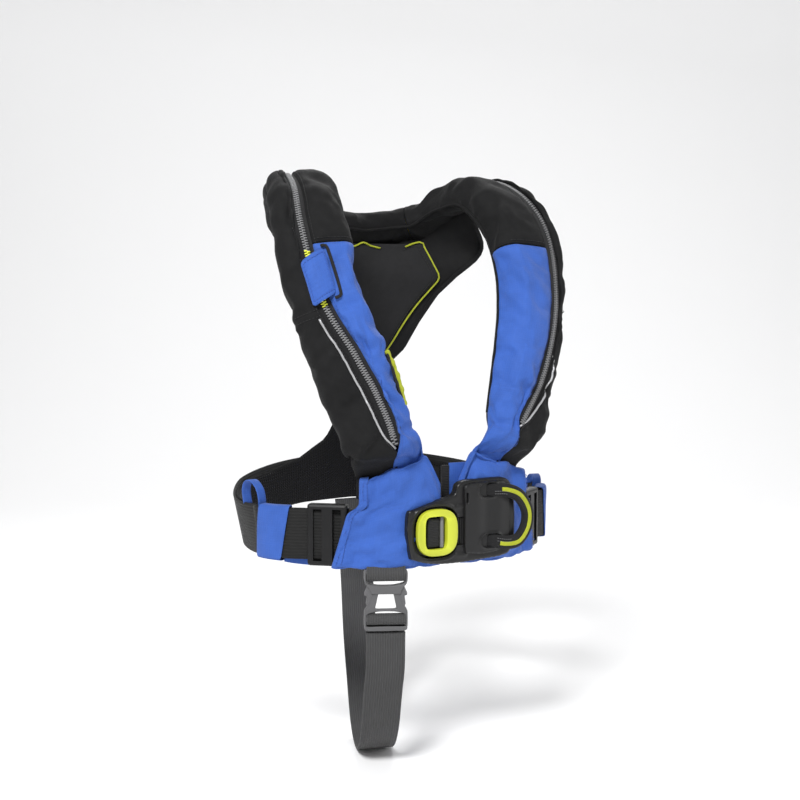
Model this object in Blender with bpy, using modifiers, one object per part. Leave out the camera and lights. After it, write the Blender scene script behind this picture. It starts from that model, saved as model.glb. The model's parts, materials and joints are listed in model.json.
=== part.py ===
"""Inflatable life jacket with a harness belt, a chest plate and a crotch strap.

Metres, +Z up. The wearer faces -Y and +X is the wearer's left. The origin is on the torso's
axis, at the mid-height of the waist belt.
"""

import math

import bmesh
import bpy
import numpy as np
from mathutils import Matrix, Vector

GAP = 0.0003  # between pieces that touch
LEFT, RIGHT = 1, -1

# Lobes: the folded buoyancy chamber in its cover, from the waist over the shoulder to the nape.
# Each station holds the centre, the direction away from the body, half width, half thickness and
# how far outward of the middle the zip lies.
LOBE = (
    ((0.072, -0.119, 0.075), (0.24, -1.0, 0.0), 0.0310, 0.0060, -0.009),
    ((0.0735, -0.1210, 0.084), (0.26, -1.0, 0.0), 0.0340, 0.0120, -0.0105),
    ((0.0780, -0.1165, 0.100), (0.28, -1.0, 0.1), 0.0370, 0.0165, -0.0105),
    ((0.0880, -0.1085, 0.133), (0.30, -1.0, 0.1), 0.0385, 0.0175, -0.004),
    ((0.0990, -0.1015, 0.168), (0.30, -1.0, 0.2), 0.0400, 0.0175, 0.003),
    ((0.1090, -0.0910, 0.208), (0.30, -1.0, 0.4), 0.0392, 0.0175, 0.009),
    ((0.1160, -0.0755, 0.248), (0.28, -1.0, 0.7), 0.0380, 0.0175, 0.012),
    ((0.1175, -0.0570, 0.286), (0.20, -1.0, 1.3), 0.0385, 0.0175, 0.014),
    ((0.1125, -0.0320, 0.317), (0.05, -0.5, 1.4), 0.0385, 0.0175, 0.014),
    ((0.1060, 0.0030, 0.3340), (0.00, 0.0, 1.0), 0.0370, 0.0170, 0.0135),
    ((0.0950, 0.0400, 0.3250), (0.03, 0.4, 1.0), 0.0350, 0.0165, 0.012),
    ((0.0740, 0.0740, 0.3050), (0.10, 0.6, 1.0), 0.0320, 0.0155, 0.008),
    ((0.044, 0.092, 0.297), (0.05, 0.7, 1.0), 0.0310, 0.0145, 0.004),
    ((0.000, 0.098, 0.292), (0.00, 0.7, 1.0), 0.0300, 0.0140, 0.002),
)
LOBE_STEPS = 2  # stations between two of the above
FABRIC = 0.0022
FACING_TOP = 6.6  # stations where the blue facing, and the lobes' covers, end
COVER_TOP = 11.4
BURST_FROM, BURST_TO = 5.20, 6.45
ZIP_TAPE_HALF, ZIP_TEETH_HALF = 0.0078, 0.0027
ZIP_TAPE_THICK, ZIP_TEETH_RISE = 0.0011, 0.0016

# Waist belt: half of its path seen from above, from the front to the middle of the back.
BELT_PATH = (
    (0.000, -0.1180), (0.030, -0.1175), (0.058, -0.1150), (0.082, -0.1045),
    (0.098, -0.0915), (0.114, -0.0785), (0.130, -0.0655), (0.146, -0.0525),
    (0.159, -0.0300), (0.164, 0.0050), (0.158, 0.0380), (0.137, 0.0730),
    (0.098, 0.0950), (0.051, 0.1060), (0.000, 0.1085),
)
BELT_HEIGHT, BELT_THICK = 0.050, 0.0024
BELT_BACK_RISE = 2.5  # metres of rise for each square metre that the path goes back
BELT_LEAN = 0.20  # how far the side of the belt leans out for its height

SLEEVE_SPAN = (0.017, 0.0985)  # along the belt, from the front
SLEEVE_THICK, SLEEVE_BOTTOM = 0.0120, -0.0310
ADJUSTER_AT, ADJUSTER_SIZE = 0.1225, (0.040, 0.0115, 0.060)
ADJUSTER_SLOT, ADJUSTER_OUT = 0.0068, 0.0015
KEEPER_SPAN = (0.160, 0.196)
SIDE_LOOP_SPAN = (0.202, 0.236)

# Back panels: height and half width of the yoke, its top edge, and the lining on its front.
YOKE_HALVES = (
    (0.1180, 0.022), (0.1350, 0.027), (0.1560, 0.039), (0.1710, 0.052), (0.2000, 0.064),
    (0.2300, 0.077), (0.2500, 0.091), (0.2640, 0.104),
)
YOKE_TOP, YOKE_TOP_HALF, YOKE_THICK = 0.277, 0.119, 0.0030
LINING_HALF, LINING_BOTTOM, LINING_TOP = 0.036, 0.150, 0.258
# Mesh wing: its top edge's height at each distance from the middle of the back.
WING_TOP = ((0.0, 0.1165), (0.022, 0.1165), (0.030, 0.078), (0.055, 0.060), (0.090, 0.053),
            (0.135, 0.045), (0.178, 0.034))
WING_HALF, WING_THICK = 0.178, 0.0022

# Chest plate, from its back face to its front face, with its ring and tether loop.
PLATE_BACK, PLATE_FRONT = -0.1256, -0.1345
COVER_RAISE = 0.0034
RING_CENTRE, RING_RADII = (-0.0225, 0.0030), (0.0218, 0.0226)
RING_HOLE, RING_HOLE_SHIFT = (0.0120, 0.0160), -0.0020
LOOP_AXIS = (0.0400, -0.1362)
LOOP_EYES = (0.0400, -0.0130)
LOOP_SECTION = (0.0070, 0.0030)

# Crotch strap and its side-release buckle, hung under the wearer's right sleeve.
STRAP_WIDTH, STRAP_THICK = 0.038, 0.0024
BUCKLE_AT, BUCKLE_YAW = (-0.0670, -0.1140, -0.0320), math.radians(-22.0)
BUCKLE_WIDTH, BUCKLE_THICK = 0.0475, 0.0120
FEMALE_LENGTH, ARMS_LENGTH, MALE_LENGTH = 0.030, 0.011, 0.029

COLOURS = {
    "blue_fabric": ((0.07, 0.19, 0.72), 0.75, 0.0),
    "black_fabric": ((0.030, 0.030, 0.032), 0.90, 0.0),
    "black_mesh": ((0.010, 0.010, 0.011), 0.95, 0.0),
    "charcoal_fabric": ((0.022, 0.022, 0.024), 0.85, 0.0),
    "webbing": ((0.070, 0.070, 0.074), 0.80, 0.0),
    "black_webbing": ((0.018, 0.018, 0.019), 0.80, 0.0),
    "lime_plastic": ((0.62, 0.68, 0.03), 0.45, 0.0),
    "lime_webbing": ((0.62, 0.68, 0.05), 0.80, 0.0),
    "black_plastic": ((0.035, 0.035, 0.037), 0.50, 0.0),
    "grey_plastic": ((0.110, 0.110, 0.115), 0.50, 0.0),
    "zip_teeth": ((0.200, 0.200, 0.205), 0.45, 0.0),
    "reflective": ((0.500, 0.500, 0.500), 0.35, 0.2),
    "yellow_bladder": ((0.75, 0.60, 0.03), 0.55, 0.0),
    "steel": ((0.55, 0.56, 0.58), 0.35, 1.0),
    "red_plastic": ((0.55, 0.03, 0.02), 0.45, 0.0),
    "orange_plastic": ((0.80, 0.22, 0.02), 0.45, 0.0),
}


def clear_scene():
    for obj in list(bpy.data.objects):
        bpy.data.objects.remove(obj, do_unlink=True)


def collection(name, hidden=False):
    made = bpy.data.collections.new(name)
    bpy.context.scene.collection.children.link(made)
    made.hide_render = hidden
    return made


def material(name):
    """The Principled material of this name, made once."""
    if name in bpy.data.materials:
        return bpy.data.materials[name]
    colour, roughness, metallic = COLOURS[name]
    made = bpy.data.materials.new(name)
    made.use_nodes = True
    made.diffuse_color = (*colour, 1.0)
    shader = made.node_tree.nodes["Principled BSDF"]
    shader.inputs["Base Color"].default_value = (*colour, 1.0)
    shader.inputs["Roughness"].default_value = roughness
    shader.inputs["Metallic"].default_value = metallic
    return made


def unit(vector):
    vector = np.asarray(vector, float)
    return vector / np.linalg.norm(vector)


def spline(points, at):
    """Catmull-Rom value at a fractional index of the points."""
    points = np.asarray(points, float)
    last = len(points) - 1
    i = min(int(at), last - 1)
    f = at - i
    a = points[i - 1] if i > 0 else 2 * points[0] - points[1]
    b, c = points[i], points[i + 1]
    d = points[i + 2] if i + 2 <= last else 2 * points[last] - points[last - 1]
    return b + 0.5 * f * (c - a + f * (2 * a - 5 * b + 4 * c - d + f * (3 * (b - c) + d - a)))


def signed_volume(verts, faces):
    total = 0.0
    for face in faces:
        for j in range(1, len(face) - 1):
            total += np.dot(verts[face[0]], np.cross(verts[face[j]], verts[face[j + 1]]))
    return total


def add_mesh(name, verts, faces, surface, sharp=40.0):
    """A closed mesh with outward faces, smooth where it turns less than the sharp angle."""
    verts = [tuple(map(float, v)) for v in verts]
    if signed_volume(np.array(verts), faces) < 0:
        faces = [tuple(reversed(face)) for face in faces]
    mesh = bpy.data.meshes.new(name)
    mesh.from_pydata(verts, [], faces)
    mesh.shade_smooth()
    mesh.set_sharp_from_angle(angle=math.radians(sharp))
    mesh.materials.append(material(surface))
    obj = bpy.data.objects.new(name, mesh)
    PARTS.objects.link(obj)
    return obj


def loft(name, rings, surface, sharp=40.0):
    """Skins rings of equal length in order and caps both ends."""
    count = len(rings[0])
    verts = [point for ring in rings for point in ring]
    faces = [tuple(range(count)), tuple(range(len(verts) - 1, len(verts) - count - 1, -1))]
    for i in range(len(rings) - 1):
        for j in range(count):
            a, b = i * count + j, i * count + (j + 1) % count
            faces.append((b, a, a + count, b + count))
    return add_mesh(name, verts, faces, surface, sharp)


def tube_loft(name, outer, inner, surface, sharp=40.0):
    """A sleeve: outer and inner rings skinned, joined at both open ends."""
    count = len(outer[0])
    verts = [point for ring in list(outer) + list(inner) for point in ring]
    faces = []
    start = len(outer) * count
    for i in range(len(outer) - 1):
        for j in range(count):
            a, b = i * count + j, i * count + (j + 1) % count
            faces.append((b, a, a + count, b + count))
            faces.append((start + a, start + b, start + b + count, start + a + count))
    last = (len(outer) - 1) * count
    for j in range(count):
        k = (j + 1) % count
        faces.append((j, k, start + k, start + j))
        faces.append((last + k, last + j, start + last + j, start + last + k))
    return add_mesh(name, verts, faces, surface, sharp)


def mirrored(rings, side):
    return [[(side * x, y, z) for x, y, z in ring] for ring in rings]


# ---------------------------------------------------------------- lobes

def lobe_frame(at):
    """Centre, tangent, outward side, direction away from the body, half width, half thickness, zip."""
    last = len(LOBE) - 1
    at = min(max(at, 0.0), last)
    columns = [[row[i] for row in LOBE] for i in range(5)]
    centre = spline(columns[0], at)
    ahead, behind = min(at + 0.05, last), max(at - 0.05, 0.0)
    tangent = unit(spline(columns[0], ahead) - spline(columns[0], behind))
    if at > last - 0.2:
        tangent = np.array((-1.0, 0.0, 0.0))
    away = spline(columns[1], at)
    away = unit(away - tangent * np.dot(away, tangent))
    across = np.cross(away, tangent)
    if at < 1.0:
        tangent = np.array((0.0, 0.0, 1.0))
        across = unit(np.array((-away[1], away[0], 0.0)))
        away = unit((away[0], away[1], 0.0))
    if across[0] < 0 and at < last - 4:
        across = -across
    if at >= last - 4 and np.dot(across, (0.3, 1.0, -0.6)) < 0:
        across = -across
    half_width, half_thick, zip_at = (float(spline(column, at)) for column in columns[2:])
    return centre, tangent, across, away, half_width, half_thick, zip_at


def lobe_point(frame, u, n):
    centre, _, across, away = frame[:4]
    return centre + across * u + away * n


def stations(start, stop, steps=LOBE_STEPS):
    """The ends, and between them the stations that every piece of the lobe shares."""
    inside = [i / steps for i in range(int(start * steps), int(stop * steps) + 2)]
    return [start] + [at for at in inside if start + 0.05 < at < stop - 0.05] + [stop]


def edge_arc(frame, inset, side, start, stop, count):
    """Points round one edge of the section; 90 is on the front face and -90 on the back."""
    half_width, half_thick = frame[4], frame[5]
    radius = half_thick - inset
    middle = side * (half_width - half_thick)
    found = []
    for i in range(count):
        angle = math.radians(start + (stop - start) * i / (count - 1))
        found.append((middle + side * radius * math.cos(angle), radius * math.sin(angle)))
    return found


def cover_line(frame, inset):
    """Outer part of the section: from the zip round the outer edge and the back."""
    half_width, half_thick = frame[4], frame[5]
    line = [(frame[6] + ZIP_TAPE_HALF + GAP, half_thick - inset)]
    line += edge_arc(frame, inset, 1, 90, -90, 5)
    line += [(0.0, -(half_thick - inset))]
    line += edge_arc(frame, inset, -1, -90, -36, 3)
    return line


def facing_line(frame, inset):
    """Inner part of the section: from the zip round the edge next to the neck."""
    line = [(frame[6] - ZIP_TAPE_HALF - GAP, frame[5] - inset)]
    return line + edge_arc(frame, inset, -1, 90, -28, 5)


def shell(name, line, start, stop, surface, side):
    rings = []
    for at in stations(start, stop):
        frame = lobe_frame(at)
        section = line(frame, 0.0) + line(frame, FABRIC)[::-1]
        rings.append([lobe_point(frame, u, n) for u, n in section])
    return loft(name, mirrored(rings, side), surface)


def strip(name, start, stop, low, high, surface, side, below, above, sharp=40.0):
    """A strip on the lobe's front between two lateral positions and two levels off its face."""
    rings = []
    for at in stations(start, stop):
        frame = lobe_frame(at)
        base, near, far = frame[5], frame[6] + low, frame[6] + high
        section = ((near, base + below), (far, base + below), (far, base + above), (near, base + above))
        rings.append([lobe_point(frame, u, n) for u, n in section])
    return loft(name, mirrored(rings, side), surface, sharp)


def closed_run(line, start, stop):
    """Rings along one lobe, over the nape and down the other; start is the right lobe's station."""
    last = len(LOBE) - 1
    rings = []
    for at in stations(start, last):
        frame = lobe_frame(at)
        rings.append([(-p[0], p[1], p[2]) for p in (lobe_point(frame, u, n) for u, n in line(frame))])
    for at in stations(stop, last)[-2::-1]:
        frame = lobe_frame(at)
        rings.append([tuple(lobe_point(frame, u, n)) for u, n in line(frame)])
    return rings


def centred_run(line):
    """A run over the nape between the two covers."""
    return closed_run(line, COVER_TOP + 0.04, COVER_TOP + 0.04)


def tape_line(frame):
    base, middle, half = frame[5], frame[6], ZIP_TAPE_HALF - GAP
    low, high = base - ZIP_TAPE_THICK - 0.0006, base - 0.0006
    return ((middle - half, low), (middle + half, low), (middle + half, high), (middle - half, high))


def teeth_line(frame):
    low, high = frame[5] - 0.0006 + GAP, frame[5] + ZIP_TEETH_RISE
    section = ((-1, low), (1, low), (1, high - 0.0006), (0.5, high), (-0.5, high), (-1, high - 0.0006))
    return [(frame[6] + u * ZIP_TEETH_HALF, n) for u, n in section]


def bladder_line(frame):
    """Folded chamber; it is narrower where the inflator or the oral tube lies beside it."""
    half_width, half_thick = frame[4] - FABRIC - 0.0025, frame[5] - FABRIC - 0.0022
    height = frame[0][2]
    beside = height < 0.262 and frame[0][1] < 0.0
    outer = 0.0030 if beside else half_width
    found = []
    for i in range(10):
        angle = 2 * math.pi * (i + 0.5) / 10
        u = half_width * math.copysign(abs(math.cos(angle)) ** 0.6, math.cos(angle))
        n = half_thick * math.copysign(abs(math.sin(angle)) ** 0.7, math.sin(angle))
        u = -half_width + (u + half_width) * (outer + half_width) / (2 * half_width)
        found.append((u, n))
    return found


def build_lobes():
    for side, word in ((RIGHT, "right"), (LEFT, "left")):
        shell(f"cover_{word}", cover_line, 0.0, COVER_TOP, "black_fabric", side)
        shell(f"facing_{word}", facing_line, 0.0, FACING_TOP, "blue_fabric", side)
        shell(f"shoulder_panel_{word}", facing_line, FACING_TOP + 0.02, COVER_TOP, "black_fabric", side)
    for name, line in (("collar_cover", cover_line), ("collar_pad", facing_line)):
        rings = centred_run(lambda frame: line(frame, 0.0) + line(frame, FABRIC)[::-1])
        loft(name, rings, "black_fabric")
    loft("zip_tape", closed_run(tape_line, 1.0, 1.0), "black_webbing")
    loft("zip_teeth", closed_run(teeth_line, BURST_TO, 1.3), "zip_teeth", 80.0)
    for name, start, stop, surface in (
        ("zip_teeth_lower", 1.3, BURST_FROM - 0.02, "zip_teeth"),
        ("burst_teeth", BURST_FROM, BURST_TO - 0.02, "lime_plastic"),
    ):
        rings = []
        for at in stations(start, stop):
            frame = lobe_frame(at)
            rings.append([lobe_point(frame, u, n) for u, n in teeth_line(frame)])
        loft(name, mirrored(rings, RIGHT), surface, 80.0)
    loft("folded_bladder", closed_run(bladder_line, 2.0, 2.0), "yellow_bladder", 60.0)
    for side, word in ((RIGHT, "right"), (LEFT, "left")):
        strip(f"piping_{word}", 1.0, 5.0, 0.0118, 0.0142, "reflective", side, GAP, 0.0012)


# ---------------------------------------------------------------- boxes, prisms and cutters

def apply_modifiers(obj):
    graph = bpy.context.evaluated_depsgraph_get()
    mesh = bpy.data.meshes.new_from_object(obj.evaluated_get(graph))
    obj.modifiers.clear()
    obj.data = mesh


def bevel(obj, width, segments=2, angle=35.0):
    modifier = obj.modifiers.new("edge", "BEVEL")
    modifier.width = width
    modifier.segments = segments
    modifier.limit_method = "ANGLE"
    modifier.angle_limit = math.radians(angle)
    modifier.harden_normals = False
    apply_modifiers(obj)


def pivot(obj, point):
    """Moves the object's origin to a point on its joint, leaving its shape where it is."""
    obj.data.transform(Matrix.Translation(-Vector(point)))
    obj.location = Vector(point)


def placed(obj, at, yaw):
    obj.data.transform(Matrix.Translation(Vector(at)) @ Matrix.Rotation(yaw, 4, "Z"))


def box(name, size, at, surface, yaw=0.0, edge=0.0, home=None, segments=2):
    mesh = bpy.data.meshes.new(name)
    build = bmesh.new()
    bmesh.ops.create_cube(build, size=1.0, matrix=Matrix.Diagonal((*size, 1.0)))
    build.to_mesh(mesh)
    build.free()
    if surface:
        mesh.materials.append(material(surface))
    obj = bpy.data.objects.new(name, mesh)
    (home or PARTS).objects.link(obj)
    if edge:
        bevel(obj, edge, segments)
    placed(obj, at, yaw)
    return obj


def prism(name, outline, back, front, surface, home=None, at=(0, 0, 0), yaw=0.0, edge=0.0):
    """An outline in the XZ plane, extruded along Y."""
    count = len(outline)
    verts = [(x, back, z) for x, z in outline] + [(x, front, z) for x, z in outline]
    faces = [tuple(range(count)), tuple(range(2 * count - 1, count - 1, -1))]
    faces += [((i + 1) % count, i, i + count, (i + 1) % count + count) for i in range(count)]
    if signed_volume(np.array(verts), faces) < 0:
        faces = [tuple(reversed(face)) for face in faces]
    mesh = bpy.data.meshes.new(name)
    mesh.from_pydata(verts, [], faces)
    if surface:
        mesh.materials.append(material(surface))
    obj = bpy.data.objects.new(name, mesh)
    (home or PARTS).objects.link(obj)
    if edge:
        bevel(obj, edge)
    placed(obj, at, yaw)
    return obj


def cylinder(name, radius, start, stop, surface, sides=20, home=None, edge=0.0):
    """A round rod between two points."""
    start, stop = Vector(start), Vector(stop)
    mesh = bpy.data.meshes.new(name)
    build = bmesh.new()
    bmesh.ops.create_cone(
        build, cap_ends=True, segments=sides, radius1=radius, radius2=radius,
        depth=(stop - start).length,
    )
    build.to_mesh(mesh)
    build.free()
    if surface:
        mesh.materials.append(material(surface))
    obj = bpy.data.objects.new(name, mesh)
    (home or PARTS).objects.link(obj)
    if edge:
        bevel(obj, edge)
    turn = (stop - start).to_track_quat("Z", "Y").to_matrix().to_4x4()
    mesh = obj.data
    mesh.transform(Matrix.Translation((start + stop) / 2) @ turn)
    mesh.shade_smooth()
    mesh.set_sharp_from_angle(angle=math.radians(40))
    return obj


def combine(obj, others, operation):
    """Boolean of an object with others, which are used up."""
    for other in others:
        modifier = obj.modifiers.new("cut", "BOOLEAN")
        modifier.operation = operation
        modifier.solver = "EXACT"
        modifier.object = other
        apply_modifiers(obj)
        bpy.data.objects.remove(other, do_unlink=True)
    obj.data.shade_smooth()
    obj.data.set_sharp_from_angle(angle=math.radians(35))
    return obj


def oval(centre, radii, count, power=1.0):
    found = []
    for i in range(count):
        angle = 2 * math.pi * i / count
        c, s = math.cos(angle), math.sin(angle)
        found.append((centre[0] + radii[0] * math.copysign(abs(c) ** power, c),
                      centre[1] + radii[1] * math.copysign(abs(s) ** power, s)))
    return found


# ---------------------------------------------------------------- belt

def belt_table(count=400):
    """Dense path of half the belt and the length along it."""
    last = len(BELT_PATH) - 1
    points = np.array([spline(BELT_PATH, last * i / count) for i in range(count + 1)])
    steps = np.linalg.norm(np.diff(points, axis=0), axis=1)
    return points, np.concatenate([[0.0], np.cumsum(steps)])


BELT_POINTS, BELT_LENGTHS = belt_table()
HALF_BELT = float(BELT_LENGTHS[-1])


def belt_xy(along):
    """Point at this length from the front; past the middle of the back it is on the other side."""
    side = 1.0
    if along < 0:
        along, side = -along, -1.0
    if along > HALF_BELT:
        along, side = 2 * HALF_BELT - along, -side
    x = np.interp(along, BELT_LENGTHS, BELT_POINTS[:, 0])
    y = np.interp(along, BELT_LENGTHS, BELT_POINTS[:, 1])
    return np.array((side * x, y))


def belt_frame(along):
    """Point at mid-height, tangent and outward direction."""
    here = belt_xy(along)
    tangent = unit(belt_xy(along + 0.002) - belt_xy(along - 0.002))
    out = np.array((tangent[1], -tangent[0]))
    rise = BELT_BACK_RISE * max(0.0, here[1]) ** 2
    return np.array((*here, rise)), np.array((*tangent, 0.0)), np.array((*out, 0.0))


def belt_lean(along):
    """Outward lean of the section: none in front or at the back, most at the hips."""
    off = min(abs(along), 2 * HALF_BELT - abs(along))
    return BELT_LEAN * float(np.interp(off, (0.170, 0.230, 0.300, 0.380), (0.0, 1.0, 1.0, 0.0)))


def belt_point(along, n, z):
    """A point n outward of the belt's middle and z above it, on the leaning section."""
    point, _, out = belt_frame(along)
    return point + out * (n + belt_lean(along) * z) + np.array((0.0, 0.0, z))


def belt_band(name, start, stop, step, surface, offset, thick, low, high):
    """A flat band that follows the belt; low and high are heights from its middle."""
    count = max(2, int(round(abs(stop - start) / step)) + 1)
    rings = []
    for i in range(count):
        along = start + (stop - start) * i / (count - 1)
        bottom = low(along) if callable(low) else low
        top = high(along) if callable(high) else high
        rings.append([belt_point(along, n, z) for n, z in (
            (offset, bottom), (offset + thick, bottom), (offset + thick, top), (offset, top))])
    return loft(name, rings, surface)


def belt_sleeve(name, start, stop, count, surface, outer, inner):
    """A sleeve round the belt; outer and inner give (n, z) corners of the section."""
    out_rings, in_rings = [], []
    for i in range(count):
        along = start + (stop - start) * i / (count - 1)
        for line, rings in ((outer, out_rings), (inner, in_rings)):
            rings.append([belt_point(along, n, z) for n, z in line(abs(along))])
    return tube_loft(name, out_rings, in_rings, surface)


def sleeve_top(along):
    """The sleeve's top edge is cut down at its inner end and falls slowly outward."""
    return float(np.interp(along, (0.017, 0.034, 0.108), (0.046, 0.0725, 0.0600)))


def sleeve_outer(along):
    half, top = SLEEVE_THICK / 2, sleeve_top(along)
    bottom = SLEEVE_BOTTOM
    return ((-half + 0.003, bottom), (half - 0.003, bottom), (half, bottom + 0.004), (half, 0.030),
            (half - 0.0015, top - 0.004), (half - 0.004, top), (-half + 0.004, top),
            (-half + 0.0015, top - 0.004), (-half, 0.030), (-half, bottom + 0.004))


def sleeve_inner(_):
    half, low, high = 0.0030, -0.0270, 0.0270
    return ((-half + 0.001, low), (half - 0.001, low), (half, low + 0.001), (half, 0.010),
            (half, high - 0.001), (half - 0.001, high), (-half + 0.001, high),
            (-half, high - 0.001), (-half, 0.010), (-half, low + 0.001))


def keeper_section(half, low, high):
    def section(_):
        return ((-half, low), (half, low), (half, high), (-half, high))
    return section


def build_belt():
    half = BELT_THICK / 2
    low, high = -BELT_HEIGHT / 2, BELT_HEIGHT / 2
    start = 0.024
    belt_band("waist_belt", -start, -(2 * HALF_BELT - start), 0.013, "webbing", -half, BELT_THICK, low, high)
    for side, word in ((RIGHT, "right"), (LEFT, "left")):
        belt_sleeve(f"waist_sleeve_{word}", side * SLEEVE_SPAN[0], side * SLEEVE_SPAN[1], 9,
                    "blue_fabric", sleeve_outer, sleeve_inner)
        belt_sleeve(f"belt_keeper_{word}", side * KEEPER_SPAN[0], side * KEEPER_SPAN[1], 5, "blue_fabric",
                    keeper_section(0.0064, low - 0.0024, high + 0.0024),
                    keeper_section(0.0052, low - 0.0012, high + 0.0012))
        belt_sleeve(f"side_loop_{word}", side * SIDE_LOOP_SPAN[0], side * SIDE_LOOP_SPAN[1], 4, "blue_fabric",
                    keeper_section(0.0040, high + 0.0008, high + 0.0230),
                    keeper_section(0.0026, high + 0.0022, high + 0.0215))
        belt_band(f"belt_tail_{word}", side * 0.1250, side * 0.2000, 0.0125, "webbing",
                  half + 0.0010, 0.0018, low, high)
        build_adjuster(word, side)


def build_adjuster(word, side):
    """A moulded frame round the belt, with two windows and a middle bar on its front."""
    point, tangent, out = belt_frame(side * ADJUSTER_AT)
    yaw = math.atan2(tangent[1] * side, tangent[0] * side)
    length, depth, _ = ADJUSTER_SIZE
    body = box(f"belt_adjuster_{word}", ADJUSTER_SIZE, (0, 0, 0), "black_plastic", edge=0.0025)
    cuts = [box("slot", (length * 1.2, ADJUSTER_SLOT, BELT_HEIGHT + 0.0024), (0, 0, 0), None, home=CUTTERS)]
    facing = -1 if np.dot(out, (math.sin(yaw), -math.cos(yaw), 0)) > 0 else 1
    for shift in (-0.0095, 0.0095):
        cuts.append(box("window", (0.0085, depth, BELT_HEIGHT), (shift, facing * depth / 2, 0), None, home=CUTTERS))
    combine(body, cuts, "DIFFERENCE")
    placed(body, point + out * ADJUSTER_OUT, yaw)
    pivot(body, point + out * ADJUSTER_OUT)


# ---------------------------------------------------------------- back

def back_y(x, z):
    """The wearer's side of the back panels."""
    return 0.1030 - 0.25 * (z - 0.118) - 3.5 * x * x


def back_ring(xs, heights, front, back):
    """Section of a back panel between two offsets behind the wearer's side."""
    near = [(x, back_y(x, z) + front, z) for x, z in zip(xs, heights)]
    far = [(x, back_y(x, z) + back, z) for x, z in zip(xs, heights)]
    return near + far[::-1]


def evenly(half, count):
    return [half * (2 * i / count - 1) for i in range(count + 1)]


def build_yoke():
    rings = []
    for z, half in YOKE_HALVES:
        xs = evenly(half, 8)
        rings.append(back_ring(xs, [z] * len(xs), 0.0, YOKE_THICK))
    xs = evenly(YOKE_TOP_HALF, 8)
    rings.append(back_ring(xs, [YOKE_TOP + x * x for x in xs], 0.0, YOKE_THICK))
    loft("back_yoke", rings, "black_fabric")


def build_lining():
    heights, halves = zip(*YOKE_HALVES)
    rings = []
    for i in range(7):
        z = LINING_BOTTOM + (LINING_TOP - LINING_BOTTOM) * i / 6
        xs = evenly(min(LINING_HALF, np.interp(z, heights, halves) - 0.006), 6)
        rings.append(back_ring(xs, [z] * len(xs), -0.0028, -0.0012))
    loft("back_lining", rings, "charcoal_fabric")


def wing_top(along):
    off = abs(abs(along) - HALF_BELT)
    return float(np.interp(off, *zip(*WING_TOP))) - belt_frame(along)[0][2]


def wing_low(along):
    off = abs(abs(along) - HALF_BELT)
    return float(np.interp(off, (0.0, 0.14, WING_HALF), (0.005, 0.001, 0.010))) - belt_frame(along)[0][2]


def build_back():
    build_yoke()
    build_lining()
    inner = -BELT_THICK / 2 - 0.0010 - WING_THICK
    belt_band("back_mesh", -HALF_BELT + WING_HALF, -HALF_BELT - WING_HALF, 0.011, "black_mesh",
              inner, WING_THICK, wing_low, wing_top)


# ---------------------------------------------------------------- chest plate

def plate_outline():
    """Low on the wearer's right, where the belt goes in, and taller on the left."""
    left, right = -0.0530, 0.0660
    low, mid, high = -0.0250, 0.0285, 0.0520
    return ((left + 0.004, low + 0.004), (-0.030, low - 0.002), (-0.005, low - 0.0035), (0.030, low - 0.002),
            (right - 0.012, low), (right - 0.001, low + 0.017), (right - 0.004, mid + 0.012),
            (right - 0.013, high), (0.010, high - 0.001), (0.0, high - 0.005), (-0.004, mid + 0.009),
            (-0.022, mid + 0.004), (left + 0.008, mid - 0.003), (left, mid - 0.004))


def cover_outline():
    return ((0.0080, -0.0235), (0.0330, -0.0235), (0.0330, -0.0020), (0.0400, 0.0060), (0.0480, 0.0060),
            (0.0560, 0.0140), (0.0560, 0.0240), (0.0330, 0.0300), (0.0330, 0.0480), (0.0130, 0.0480),
            (0.0055, 0.0430), (0.0080, 0.0300), (0.0040, 0.0200), (0.0040, -0.0160))


def loop_eyes():
    """Round room for the tether loop's two ends to turn in."""
    half = LOOP_SECTION[0] + 0.0010
    return [cylinder("eye", 0.0064, (*LOOP_AXIS, z - half), (*LOOP_AXIS, z + half), None, 24, CUTTERS)
            for z in LOOP_EYES]


def build_plate():
    plate = prism("chest_plate", plate_outline(), PLATE_BACK, PLATE_FRONT, "black_plastic", edge=0.0016)
    (cx, cz), (rx, rz) = RING_CENTRE, RING_RADII
    cuts = [prism("recess", oval((cx, cz), (rx + 0.0015, rz + 0.0015), 40, 0.72), PLATE_FRONT + 0.0052,
                  PLATE_FRONT - 0.01, None, CUTTERS)]
    cuts.append(box("window", (0.0080, 0.0100, 0.0260), (0.0042, PLATE_FRONT + 0.0010, 0.0025), None, home=CUTTERS))
    combine(plate, cuts + loop_eyes(), "DIFFERENCE")
    raised = prism("plate_cover", [(x + 0.006, z) for x, z in cover_outline()], PLATE_FRONT - GAP,
                   PLATE_FRONT - COVER_RAISE, "black_plastic", edge=0.0008)
    slit = box("slit", (0.0016, 0.02, 0.018), (0.0180, PLATE_FRONT, 0.034), None, home=CUTTERS)
    combine(raised, [slit] + loop_eyes(), "DIFFERENCE")
    build_window_bars()
    build_ring()
    build_loop()
    build_tabs()


def build_window_bars():
    level, half = PLATE_FRONT + 0.0022, 0.0127
    for i in range(3):
        x = 0.0024 + 0.0020 * i
        cylinder(f"window_bar_{i + 1}", 0.0007, (x, level, 0.0025 - half), (x, level, 0.0025 + half),
                 "grey_plastic", 8)


def ring_loop(name, outline, hole, back, front, surface, edge):
    ring = prism(name, outline, back, front, surface, edge=edge)
    return combine(ring, [prism("hole", hole, back + 0.02, front - 0.02, None, CUTTERS)], "DIFFERENCE")


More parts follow.
